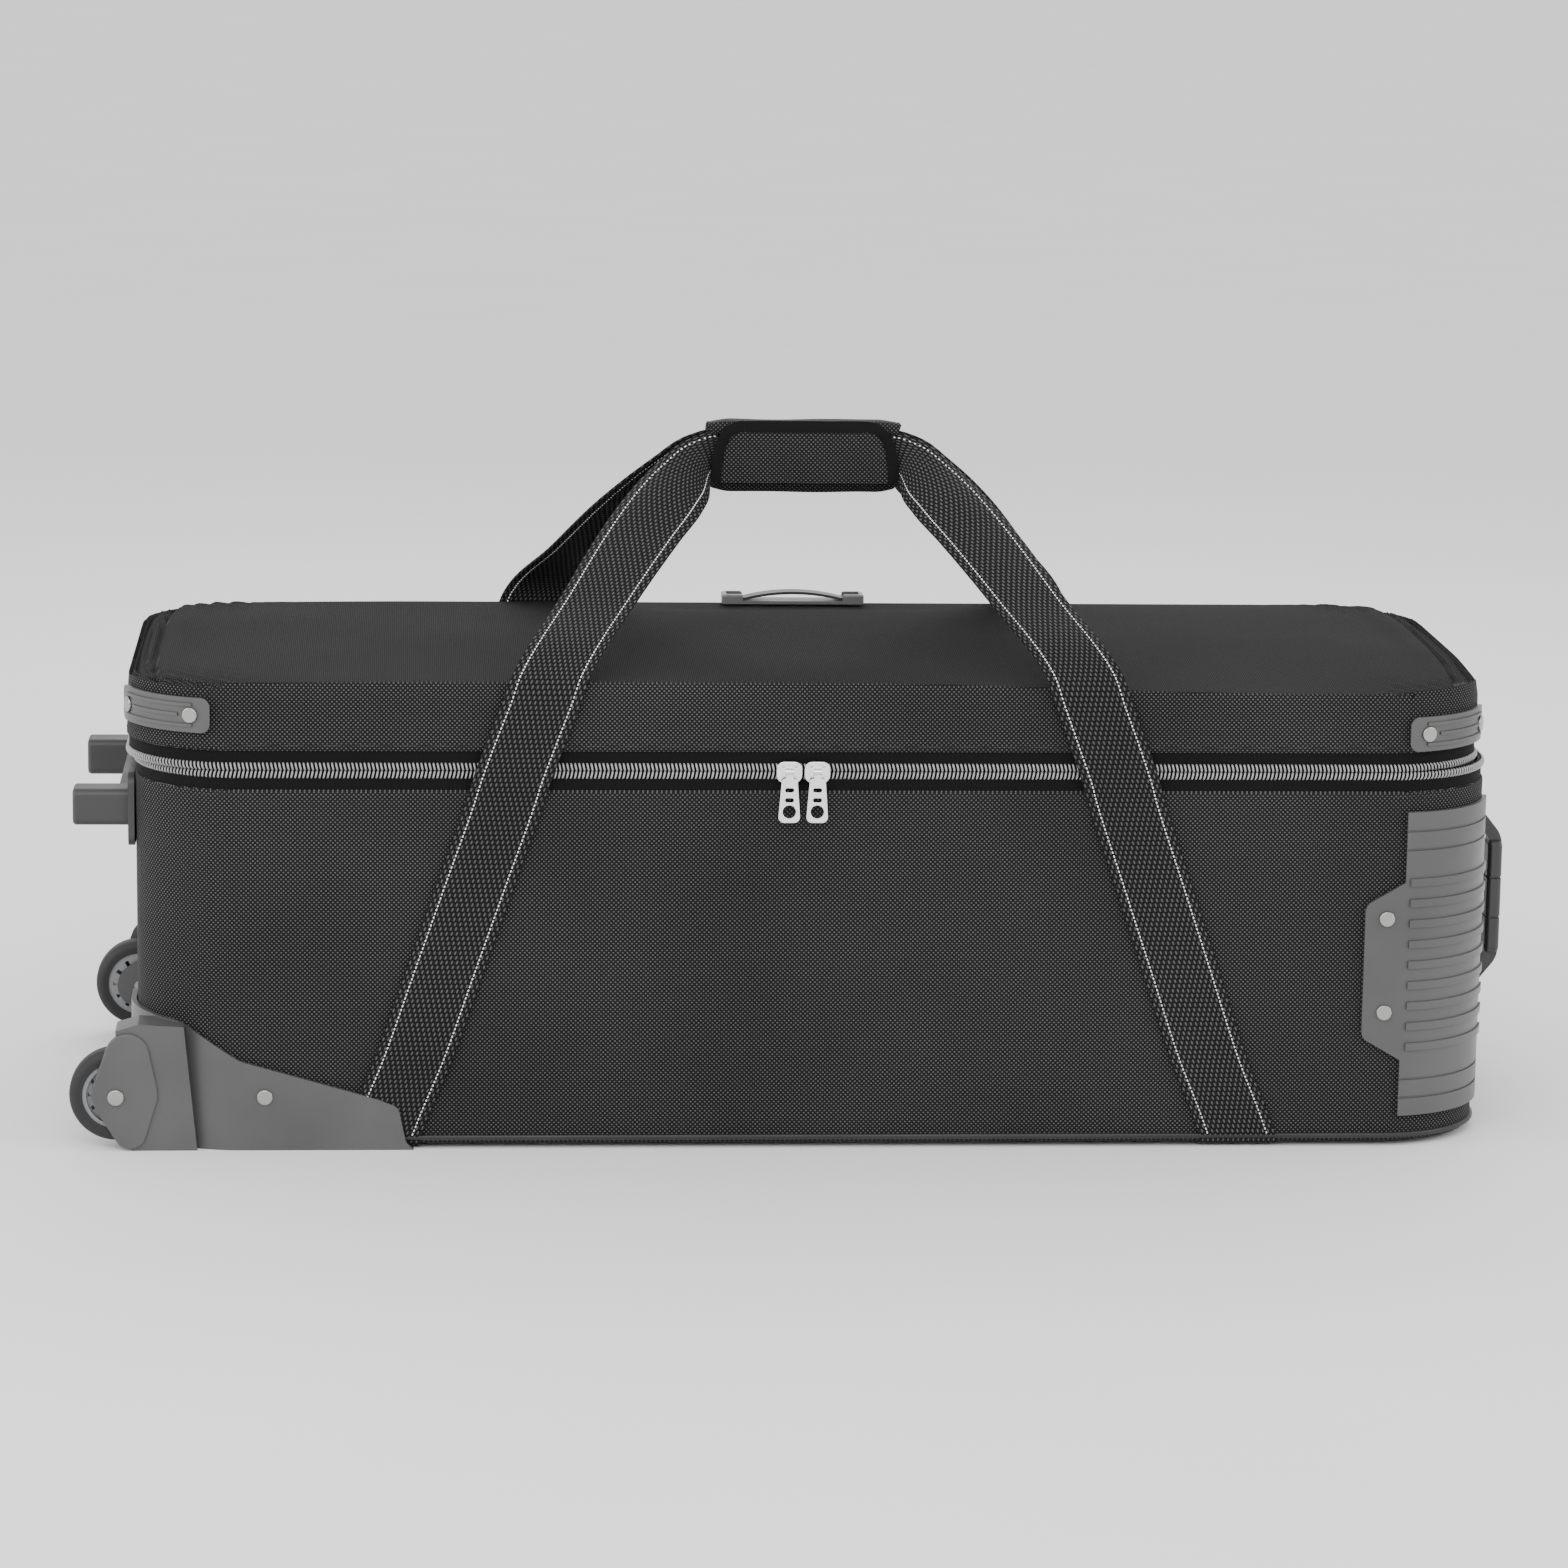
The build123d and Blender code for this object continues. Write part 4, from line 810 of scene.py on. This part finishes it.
def sewn_run():
    """Stations under the base and up the face to the rim."""
    face_y = -0.2030
    rim_height = 0.2852
    places = [(foot_x, py, 0.0018) for py in (-0.0004, -0.1000, -0.1900)]
    places += [(foot_x, -0.1985, 0.0032), (foot_x, -0.2024, 0.0085), (foot_x - 0.003, face_y, 0.0180)]
    for share in (0.25, 0.5, 0.75, 0.97):
        places.append((foot_x + (rim_x - foot_x) * share, face_y, share * rim_height))
    return [((px + strap_half, py, pz), (px - strap_half, py, pz), 0.0) for px, py, pz in places]


def along_stations(stations, step):
    """Smooth rows of (outer, inner, bow) about a step apart."""
    rows = np.array([list(o) + list(i) + [b] for o, i, b in stations])
    middle = (rows[:, 0:3] + rows[:, 3:6]) / 2
    run = np.concatenate(([0], np.cumsum(np.linalg.norm(np.diff(middle, axis=0), axis=1))))
    slope = np.zeros_like(rows)
    gap = np.diff(run)[:, None]
    chord = np.diff(rows, axis=0) / gap
    product = chord[:-1] * chord[1:]
    slope[1:-1] = np.where(product > 0, 2 * product / (chord[:-1] + chord[1:] + 1e-12), 0)
    slope[0], slope[-1] = chord[0], chord[-1]
    at = np.linspace(0, run[-1], int(run[-1] / step) + 1)
    k = np.clip(np.searchsorted(run, at, side="right") - 1, 0, len(run) - 2)
    h = run[k + 1] - run[k]
    t = ((at - run[k]) / h)[:, None]
    h = h[:, None]
    return ((1 + 2 * t) * (1 - t) ** 2 * rows[k] + t * (1 - t) ** 2 * h * slope[k]
            + t * t * (3 - 2 * t) * rows[k + 1] + t * t * (t - 1) * h * slope[k + 1]), at


def strap_surface(rows, across):
    """Points at a share across the strap, from -1 outer edge to 1 inner, and the face normal."""
    outer, inner, bow = rows[:, 0:3], rows[:, 3:6], rows[:, 6:7]
    middle, half = (outer + inner) / 2, (inner - outer) / 2
    run = np.gradient(middle, axis=0)
    normal = np.cross(half, run)
    normal /= np.linalg.norm(normal, axis=1)[:, None]
    normal *= np.sign((normal[:, 1:2] * -1 + 0.001))
    return middle + half * across + normal * bow * (1 - across * across), normal


def make_strap(name, turn_x, turn_y):
    """Half a strap from under the base to the middle of the grip, and its stitches."""
    rows, at = along_stations(sewn_run() + free_run, 0.0055)
    side = np.array([turn_x, turn_y, 1.0])
    columns = 11
    free()
    bpy.ops.mesh.primitive_grid_add(x_subdivisions=len(rows) - 1, y_subdivisions=columns - 1, size=2.0)
    strap = bpy.context.object
    strap.name = name
    grid = points_of(strap)
    i = np.rint((grid[:, 0] + 1) / 2 * (len(rows) - 1)).astype(int)
    j = np.rint((grid[:, 1] + 1) / 2 * (columns - 1)).astype(int)
    shares = np.linspace(-1, 1, columns)
    sheet_points = np.array([strap_surface(rows, share)[0] for share in shares])
    co = sheet_points[j, i] * side
    layer = cloth_layer(strap)
    flat = np.empty((len(strap.data.loops), 2))
    for n, loop in enumerate(strap.data.loops):
        flat[n] = (shares[j[loop.vertex_index]] * strap_half, at[i[loop.vertex_index]])
    layer.data.foreach_set("uv", flat.ravel())
    push(strap, co)
    hold(strap)
    bpy.ops.object.mode_set(mode="EDIT")
    bpy.ops.mesh.select_all(action="SELECT")
    bpy.ops.mesh.normals_make_consistent(inside=False)
    free()
    use_modifier(strap, "SOLIDIFY", thickness=thick, offset=0.0)
    use_modifier(strap, "BEVEL", width=0.0005, segments=2, limit_method="ANGLE")
    smooth_round(strap)
    fine, _ = along_stations(sewn_run() + free_run, stitch_step)
    frames = []
    for share in (-0.77, 0.77):
        line, normal = strap_surface(fine, share)
        run = np.gradient(line, axis=0)
        run /= np.linalg.norm(run, axis=1)[:, None]
        for k in range(len(fine)):
            hidden_under = k * stitch_step < 0.206
            in_grip = abs(line[k, 0]) < 0.070 and line[k, 2] > 0.5
            if hidden_under or in_grip:
                continue
            for face in ((1, -1) if line[k, 2] > 0.30 else (1,)):
                out = normal[k] * face
                frames.append(((line[k] + out * thick / 2) * side, run[k] * side, out * side))
    return strap, set_along(name + "_thread", stitch, frames)


loop_of = {-1: ("front_loop", "front", "carry_loop_front"), 1: ("back_loop", "back", "carry_loop_back")}
for turn_y in (-1, 1):
    loop_body, where, loop_node = loop_of[turn_y]
    for turn_x, end in ((-1, "wheel_end"), (1, "handle_end")):
        strap, thread = make_strap("strap_%s_%s" % (where, end), turn_x, -turn_y)
        for piece, finish in ((strap, webbing), (thread, thread_white)):
            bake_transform(piece)
            finish_piece(piece, finish, None, "webbing")
        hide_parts("carry_strap_" + end, loop_node)
bpy.data.objects.remove(stitch)

# %% [markdown]
# ## Grip
# The grip is a padded cloth sleeve that stays on the back loop and opens to the front, and a
# flap with a bound edge that folds up over the opening. The sleeve is a block with its front
# and ends taken off, rounded at the back, cut into rings, thickened and puffed a little. The
# flap is a thin sheet cut to an arch, and its binding is a strip round the arch.

# %% Grip sleeve
wrap_low, wrap_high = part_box("grip_wrap")


def face_uv(obj):
    """UV in metres from the two axes that each face lies along."""
    layer = cloth_layer(obj)
    for face in obj.data.polygons:
        skip = max(range(3), key=lambda k: abs(face.normal[k]))
        keep = [k for k in range(3) if k != skip]
        for loop in face.loop_indices:
            v = obj.data.vertices[obj.data.loops[loop].vertex_index].co
            layer.data[loop].uv = (v[keep[0]], v[keep[1]])


def block_between(name, low, high):
    """A cube set between two corners."""
    free()
    low, high = Vector(low), Vector(high)
    bpy.ops.mesh.primitive_cube_add(size=1.0, location=(low + high) / 2)
    obj = bpy.context.object
    obj.name = name
    obj.scale = high - low
    bpy.ops.object.transform_apply(location=True, rotation=True, scale=True)
    free()
    return obj


sleeve = block_between("grip_sleeve", wrap_low, wrap_high)
pick_faces(sleeve, lambda c, n: n.y < -0.5 or abs(n.x) > 0.5)
bpy.ops.mesh.delete(type="FACE")
free()
hold(sleeve)
sleeve.data.edges.foreach_set("select", [
    all(sleeve.data.vertices[v].co.y > wrap_high.y - 0.001 for v in e.vertices)
    and abs(sleeve.data.vertices[e.vertices[0]].co.z - sleeve.data.vertices[e.vertices[1]].co.z) < 0.001
    for e in sleeve.data.edges])
bpy.context.tool_settings.mesh_select_mode = (False, True, False)
bpy.ops.object.mode_set(mode="EDIT")
bpy.ops.mesh.bevel(offset=0.012, segments=6, affect="EDGES")
free()
hold(sleeve)
corners = [v.co for v in sleeve.data.vertices]
front_top = [c.y < wrap_low.y + 0.001 and c.z > wrap_high.z - 0.001 for c in corners]
sleeve.data.edges.foreach_set("select", [all(front_top[v] for v in e.vertices) for e in sleeve.data.edges])
bpy.context.tool_settings.mesh_select_mode = (False, True, False)
bpy.ops.object.mode_set(mode="EDIT")
bpy.ops.mesh.extrude_region_move(TRANSFORM_OT_translate={"value": (0, -0.0006, -0.004)})
bpy.ops.mesh.extrude_region_move(TRANSFORM_OT_translate={"value": (0, 0, -0.006)})
tidy_normals(sleeve)
slice_up(sleeve, 0, np.arange(wrap_low.x + 0.005, wrap_high.x, 0.005))
slice_up(sleeve, 2, np.arange(wrap_low.z + 0.013, wrap_high.z - 0.012, 0.005))
slice_up(sleeve, 1, np.arange(wrap_low.y + 0.005, 0.005, 0.005))
use_modifier(sleeve, "SOLIDIFY", thickness=0.003, offset=-1.0)
co = points_of(sleeve)
middle_z = (wrap_low.z + wrap_high.z) / 2
along = np.abs(co[:, 0]) / wrap_high.x
puff = 0.0006 - 0.0022 * swell((along - 0.8) / 0.2) + 0.0012 * ripple(co, 45.0, 4)
co[:, 2] += (co[:, 2] - middle_z) / 0.024 * puff
co[:, 1] += np.sign(co[:, 1]) * 0.0008 * ripple(co, 60.0, 6)
tab = swell((co[:, 2] - 0.538) / 0.006) * (co[:, 1] < -0.004) * swell((along - 0.7) / 0.3)
co[:, 0] += np.sign(co[:, 0]) * 0.003 * tab
push(sleeve, co)
face_uv(sleeve)
use_modifier(sleeve, "SUBSURF", levels=1, render_levels=1)
smooth_round(sleeve, 60)
finish_piece(sleeve, case_weave, "back_loop", "trim_fabric", "grip_wrap")

# %% Grip flap and its binding
flap_low, flap_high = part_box("grip_flap")
arch_height = np.array([0.0, 0.35, 0.62, 0.80, 0.90, 0.96, 1.0])
arch_half = np.array([0.0745, 0.0735, 0.0712, 0.0672, 0.0630, 0.0585, 0.0505])
flap_foot, flap_tall = flap_low.z, flap_high.z - flap_low.z + 0.0015


def flap_depth(x, z):
    """Y of the flap's face at a place on it: a soft crown that rolls back at the top."""
    share_z = np.clip((z - flap_foot) / flap_tall, 0, 1)
    share_x = np.clip(x / np.interp(share_z, arch_height, arch_half), -1, 1)
    bulge = 0.0022 * (1 - share_x ** 2) * np.sin(np.pi * share_z)
    bulge += 0.0006 * np.sin(share_x * 9 + share_z * 4)
    return -0.0168 - bulge + 0.0045 * swell((share_z - 0.82) / 0.18)


def flap_point(share_x, share_z):
    """A point of the flap, from its share across and up."""
    x, z = share_x * np.interp(share_z, arch_height, arch_half), flap_foot + share_z * flap_tall
    return np.array([x, flap_depth(x, z), z])


free()
bpy.ops.mesh.primitive_grid_add(x_subdivisions=44, y_subdivisions=16, size=2.0)
flap = bpy.context.object
flap.name = "grip_flap_cloth"
push(flap, [flap_point(px, (pz + 1) / 2) for px, pz, _ in points_of(flap)])
face_uv(flap)
use_modifier(flap, "SOLIDIFY", thickness=0.0018, offset=0.0)
tidy_normals(flap)
smooth_round(flap, 50)
finish_piece(flap, case_weave, "grip_flap", "trim_fabric", "grip_flap")

border = [(-1, h) for h in np.linspace(0.0, 0.97, 22)] + [(t, 1.0) for t in np.linspace(-1, 1, 34)]
border += [(1, h) for h in np.linspace(0.97, 0.0, 22)]
free()
bpy.ops.mesh.primitive_grid_add(x_subdivisions=len(border) - 1, y_subdivisions=4, size=2.0)
binding = bpy.context.object
binding.name = "grip_flap_binding"
outline = np.array([flap_point(a, b) for a, b in border])
run = np.gradient(outline, axis=0)
inwards = np.stack([run[:, 2], np.zeros(len(run)), -run[:, 0]], axis=1)
inwards /= np.linalg.norm(inwards, axis=1)[:, None]
kernel = np.ones(7) / 7
for axis in (0, 2):
    inwards[:, axis] = np.convolve(np.pad(inwards[:, axis], 3, mode="edge"), kernel, mode="valid")
co = points_of(binding)
i = np.rint((co[:, 0] + 1) / 2 * (len(border) - 1)).astype(int)
width = (co[:, 1] + 1) / 2
moved = outline[i] + inwards[i] * (width[:, None] * 0.0085 - 0.0006)
moved[:, 1] = flap_depth(moved[:, 0], moved[:, 2]) - 0.0012 - 0.0007 * np.sin(width * np.pi)
push(binding, moved)
face_uv(binding)
use_modifier(binding, "SOLIDIFY", thickness=0.0012, offset=0.0)
tidy_normals(binding)
smooth_round(binding, 60)
finish_piece(binding, tape_weave, "grip_flap", "trim_fabric")

# %% [markdown]
# ## Cloth hinge
# At the back the lid is joined to the case by a strip of the case cloth, sewn to both rims.
# It is one flat sheet with a slight bow, left on no body, where it lies with the lid shut.

# %% Cloth hinge
upper_low, upper_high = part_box("hinge_band_upper")
free()
bpy.ops.mesh.primitive_grid_add(x_subdivisions=80, y_subdivisions=12, size=2.0)
hinge = bpy.context.object
hinge.name = "hinge_cloth"
co = points_of(hinge)
share = (co[:, 1] + 1) / 2
hinge_x0, hinge_x1 = hinge_low.x, upper_high.x
moved_x = hinge_x0 + (co[:, 0] + 1) / 2 * (hinge_x1 - hinge_x0)
moved_y = 0.2021 + 0.0008 * np.sin(share * np.pi)
moved_z = hinge_low.z + share * (upper_high.z - hinge_low.z)
moved = np.stack([moved_x, moved_y, moved_z], axis=1)
moved[:, 1] += 0.0003 * ripple(moved, 30.0, 2)
push(hinge, moved)
face_uv(hinge)
use_modifier(hinge, "SOLIDIFY", thickness=0.0011, offset=0.0)
tidy_normals(hinge)
smooth_round(hinge, 60)
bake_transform(hinge)
finish_piece(hinge, case_weave, None, "shell_fabric", "hinge_band_lower", "hinge_band_upper")

# %% [markdown]
# ## Inside the tub
# Foam under a smooth lining pads the walls. Channels sewn through it every seven
# centimetres pull it in, so the wall between two seams stands out like a pillow. It is drawn
# as one section again, from its outer foot over the rim and down to the floor.

# %% Tub lining
def quilted(name, node, rise, wall, floor_gap, upside_down):
    """A padded tray in a CAD node's space, sewn in channels."""
    low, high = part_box(node)
    radius = corner - (half_deep - high.y)
    start = high.z - 0.0003 if upside_down else low.z + 0.0003
    up = -1.0 if upside_down else 1.0
    gap = 0.0004
    obj = rounded_plate(name, (low.x + gap, low.y + gap), (high.x - gap, high.y - gap), radius, start)
    obj["half_x"], obj["half_y"] = (high.x - low.x) / 2, high.y
    draw_section(obj, [(up * (rise - 0.004), 0.0), (up * 0.0025, 0.0008), (up * 0.0012, 0.0022)])
    draw_section(obj, [(0.0, wall - 0.007), (-up * 0.0015, 0.0018), (-up * 0.003, 0.0009)])
    draw_section(obj, [(-up * (rise - 0.0055 - floor_gap), 0.0)])
    tidy_normals(obj)
    middle = (low.x + high.x) / 2
    slice_up(obj, 2, np.linspace(low.z + 0.02, high.z - 0.008, 9 if rise > 0.1 else 4))
    slice_up(obj, 0, np.arange(low.x + radius, high.x - radius, 0.0116))
    slice_up(obj, 1, np.arange(low.y + 0.012, high.y, 0.0116))
    co = points_of(obj)
    x, y = co[:, 0] - middle, co[:, 1]
    half_x, half_y = (high.x - low.x) / 2, high.y
    in_x, in_y = half_x - np.abs(x), half_y - np.abs(y)
    inner = np.minimum(in_x, in_y) > wall * 0.6
    puff_x = np.abs(np.sin(x * math.pi / 0.07)) ** 0.5
    puff_y = np.abs(np.sin(y * math.pi / 0.07)) ** 0.5
    level = swell((co[:, 2] - low.z - 0.015) / 0.04) * swell((high.z - 0.012 - co[:, 2]) / 0.03)
    on_long = inner & (in_y < wall + 0.004)
    on_end = inner & (in_x < wall + 0.004)
    co[:, 1] -= np.sign(y) * 0.0022 * puff_x * level * on_long
    co[:, 0] -= np.sign(x) * 0.0022 * puff_y * level * on_end
    on_floor = inner & (np.abs(co[:, 2] - (start + up * floor_gap)) < 0.004) & ~on_long & ~on_end
    co[:, 2] += up * 0.0018 * (puff_x * puff_y) * on_floor
    if upside_down:
        hidden = co[:, 2] > high.z - 0.006
        co[:, 2] += end_seams(x * half_long / (half_x + 0.005), y)[3] * hidden * 1.1
        co[:, 2] += lid_droop(x, y) * (hidden | on_floor)
    push(obj, co)
    wrap_uv(obj, middle, half_x, half_y, radius)
    smooth_round(obj, 55)
    return obj


tub_low, tub_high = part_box("foam_liner")
tub_lining = quilted("tub_lining", "foam_liner", tub_high.z - tub_low.z - 0.001, 0.014, 0.0065, False)
finish_piece(tub_lining, taffeta, "case", "lining", "foam_liner")
lid_foam_low, lid_foam_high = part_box("lid_foam")
lid_rise = lid_foam_high.z - lid_foam_low.z - 0.001
lid_lining = quilted("lid_lining", "lid_foam", lid_rise, 0.010, 0.0095, True)
finish_piece(lid_lining, taffeta, "lid", "lining", "lid_foam")

# %% [markdown]
# ## Dividers
# A divider is a foam board in a lining sleeve, so its faces swell and its edges stay sewn. A
# cloth simulation gives that: the block is remeshed evenly, blown up gently with gravity
# off, and no point may go further than a few millimetres. One divider is made and copied.

# %% Inflate one divider, copy it twice
def inflate(obj, voxel, pressure, cap):
    """Even mesh, cloth pressure for twenty frames, capped, applied."""
    hold(obj)
    obj.data.remesh_voxel_size = voxel
    bpy.ops.object.voxel_remesh()
    before = points_of(obj)
    cloth = obj.modifiers.new("cloth", "CLOTH")
    cloth.settings.use_pressure = True
    cloth.settings.uniform_pressure_force = pressure
    cloth.settings.effector_weights.gravity = 0.0
    cloth.settings.quality = 4
    for step in range(1, 21):
        bpy.context.scene.frame_set(step)
    bpy.ops.object.modifier_apply(modifier=cloth.name)
    bpy.context.scene.frame_set(1)
    moved = points_of(obj) - before
    length = np.linalg.norm(moved, axis=1)
    moved *= np.minimum(1.0, cap / np.maximum(length, 1e-9))[:, None]
    push(obj, before + moved)
    print(obj.name, "swelled", round(float(length.max()) * 1000, 1), "mm before the cap")
    return obj


divider_low, divider_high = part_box("divider_1")
pad = Vector((0.0028, 0.0022, 0.0012))
divider = block_between("divider_pad_1", Vector(divider_low) + pad, Vector(divider_high) - pad)
hold(divider)
bpy.ops.object.mode_set(mode="EDIT")
bpy.ops.mesh.select_all(action="SELECT")
bpy.ops.mesh.bevel(offset=0.003, segments=2, affect="EDGES")
free()
inflate(divider, 0.004, 3.0, 0.0026)
use_modifier(divider, "SMOOTH", factor=0.5, iterations=3)
co = points_of(divider)
mid_x = (divider_low.x + divider_high.x) / 2
seam_dip = np.exp(-((divider_high.z - 0.014 - co[:, 2]) / 0.0022) ** 2)
for line_y in (-0.09, 0.0, 0.09):
    seam_dip = np.maximum(seam_dip, 0.8 * np.exp(-((co[:, 1] - line_y) / 0.0025) ** 2))
co[:, 0] -= (co[:, 0] - mid_x) * 0.32 * seam_dip
push(divider, co)
face_uv(divider)
for number in (1, 2, 3):
    piece = divider if number == 1 else divider.copy()
    if number > 1:
        piece.data = divider.data.copy()
        piece.name = "divider_pad_%d" % number
        bpy.context.scene.collection.objects.link(piece)
        co = points_of(piece)
        co[:, 0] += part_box("divider_%d" % number)[0].x - divider_low.x
        push(piece, co)
dividers = [bpy.data.objects["divider_pad_%d" % n] for n in (1, 2, 3)]
for number, piece in enumerate(dividers, 1):
    smooth_round(piece, 60)
    finish_piece(piece, taffeta, "case", "lining", "divider_%d" % number)

# %% [markdown]
# ## Ball cradles
# Each ball sits in a ring cut through a block of dense foam. The CAD block is copied, its
# loose triangles are merged, and a remesh and a smooth give the edges the roundness of
# foam that was cut with a hot wire.

# %% Ball cradles
for number in (1, 2, 3, 4):
    source = nodes["ball_cradle_%d" % number]
    piece = bpy.data.objects.new("cradle_foam_%d" % number, source.data.copy())
    bpy.context.scene.collection.objects.link(piece)
    tidy_normals(piece)
    hold(piece)
    piece.data.remesh_voxel_size = 0.004
    bpy.ops.object.voxel_remesh()
    use_modifier(piece, "SMOOTH", factor=0.5, iterations=4)
    co = points_of(piece)
    co += 0.0005 * ripple(co, 60.0, number)[:, None] * np.array([0.3, 0.3, 1.0])
    push(piece, co)
    smooth_round(piece, 60)
    finish_piece(piece, foam_moulded, "case", "foam", "ball_cradle_%d" % number)

# %% [markdown]
# ## Finishes for the CAD pieces
# Guards, wheels, handles, rivets and sliders have their true shape from the CAD, so they
# keep their meshes and only get a finish.

# %% Finishes for the CAD pieces
finishes = {
    "wheel_guard_front wheel_guard_back corner_guard_front corner_guard_back pull_handle_base": guard_plastic,
    "lid_guard_wheel_end_front lid_guard_wheel_end_back lid_guard_handle_end_front": guard_plastic,
    "lid_guard_handle_end_back base_glides": guard_plastic,
    "foot_bracket": foot_plastic, "pull_handle": handle_plastic,
    "top_handle_base": cap_plastic, "top_handle_strap": handle_plastic,
    "hub_front hub_back": hub_plastic, "tyre_front tyre_back": tyre_rubber,
    "axle_front axle_back bearings_front bearings_back case_rivets lid_rivets": rivet_nickel,
    "slider_left slider_right pull_left pull_right": bright_chrome,
    "base_piping": piping_vinyl, "base_board": board_black,
}
for names, material in finishes.items():
    for name in names.split():
        nodes[name].data.materials.clear()
        nodes[name].data.materials.append(material)
finished = " ".join(finishes).split()
left_plain = [name for name, node in nodes.items() if not node.hide_render and name not in finished]
print("CAD nodes left without a finish:", left_plain)
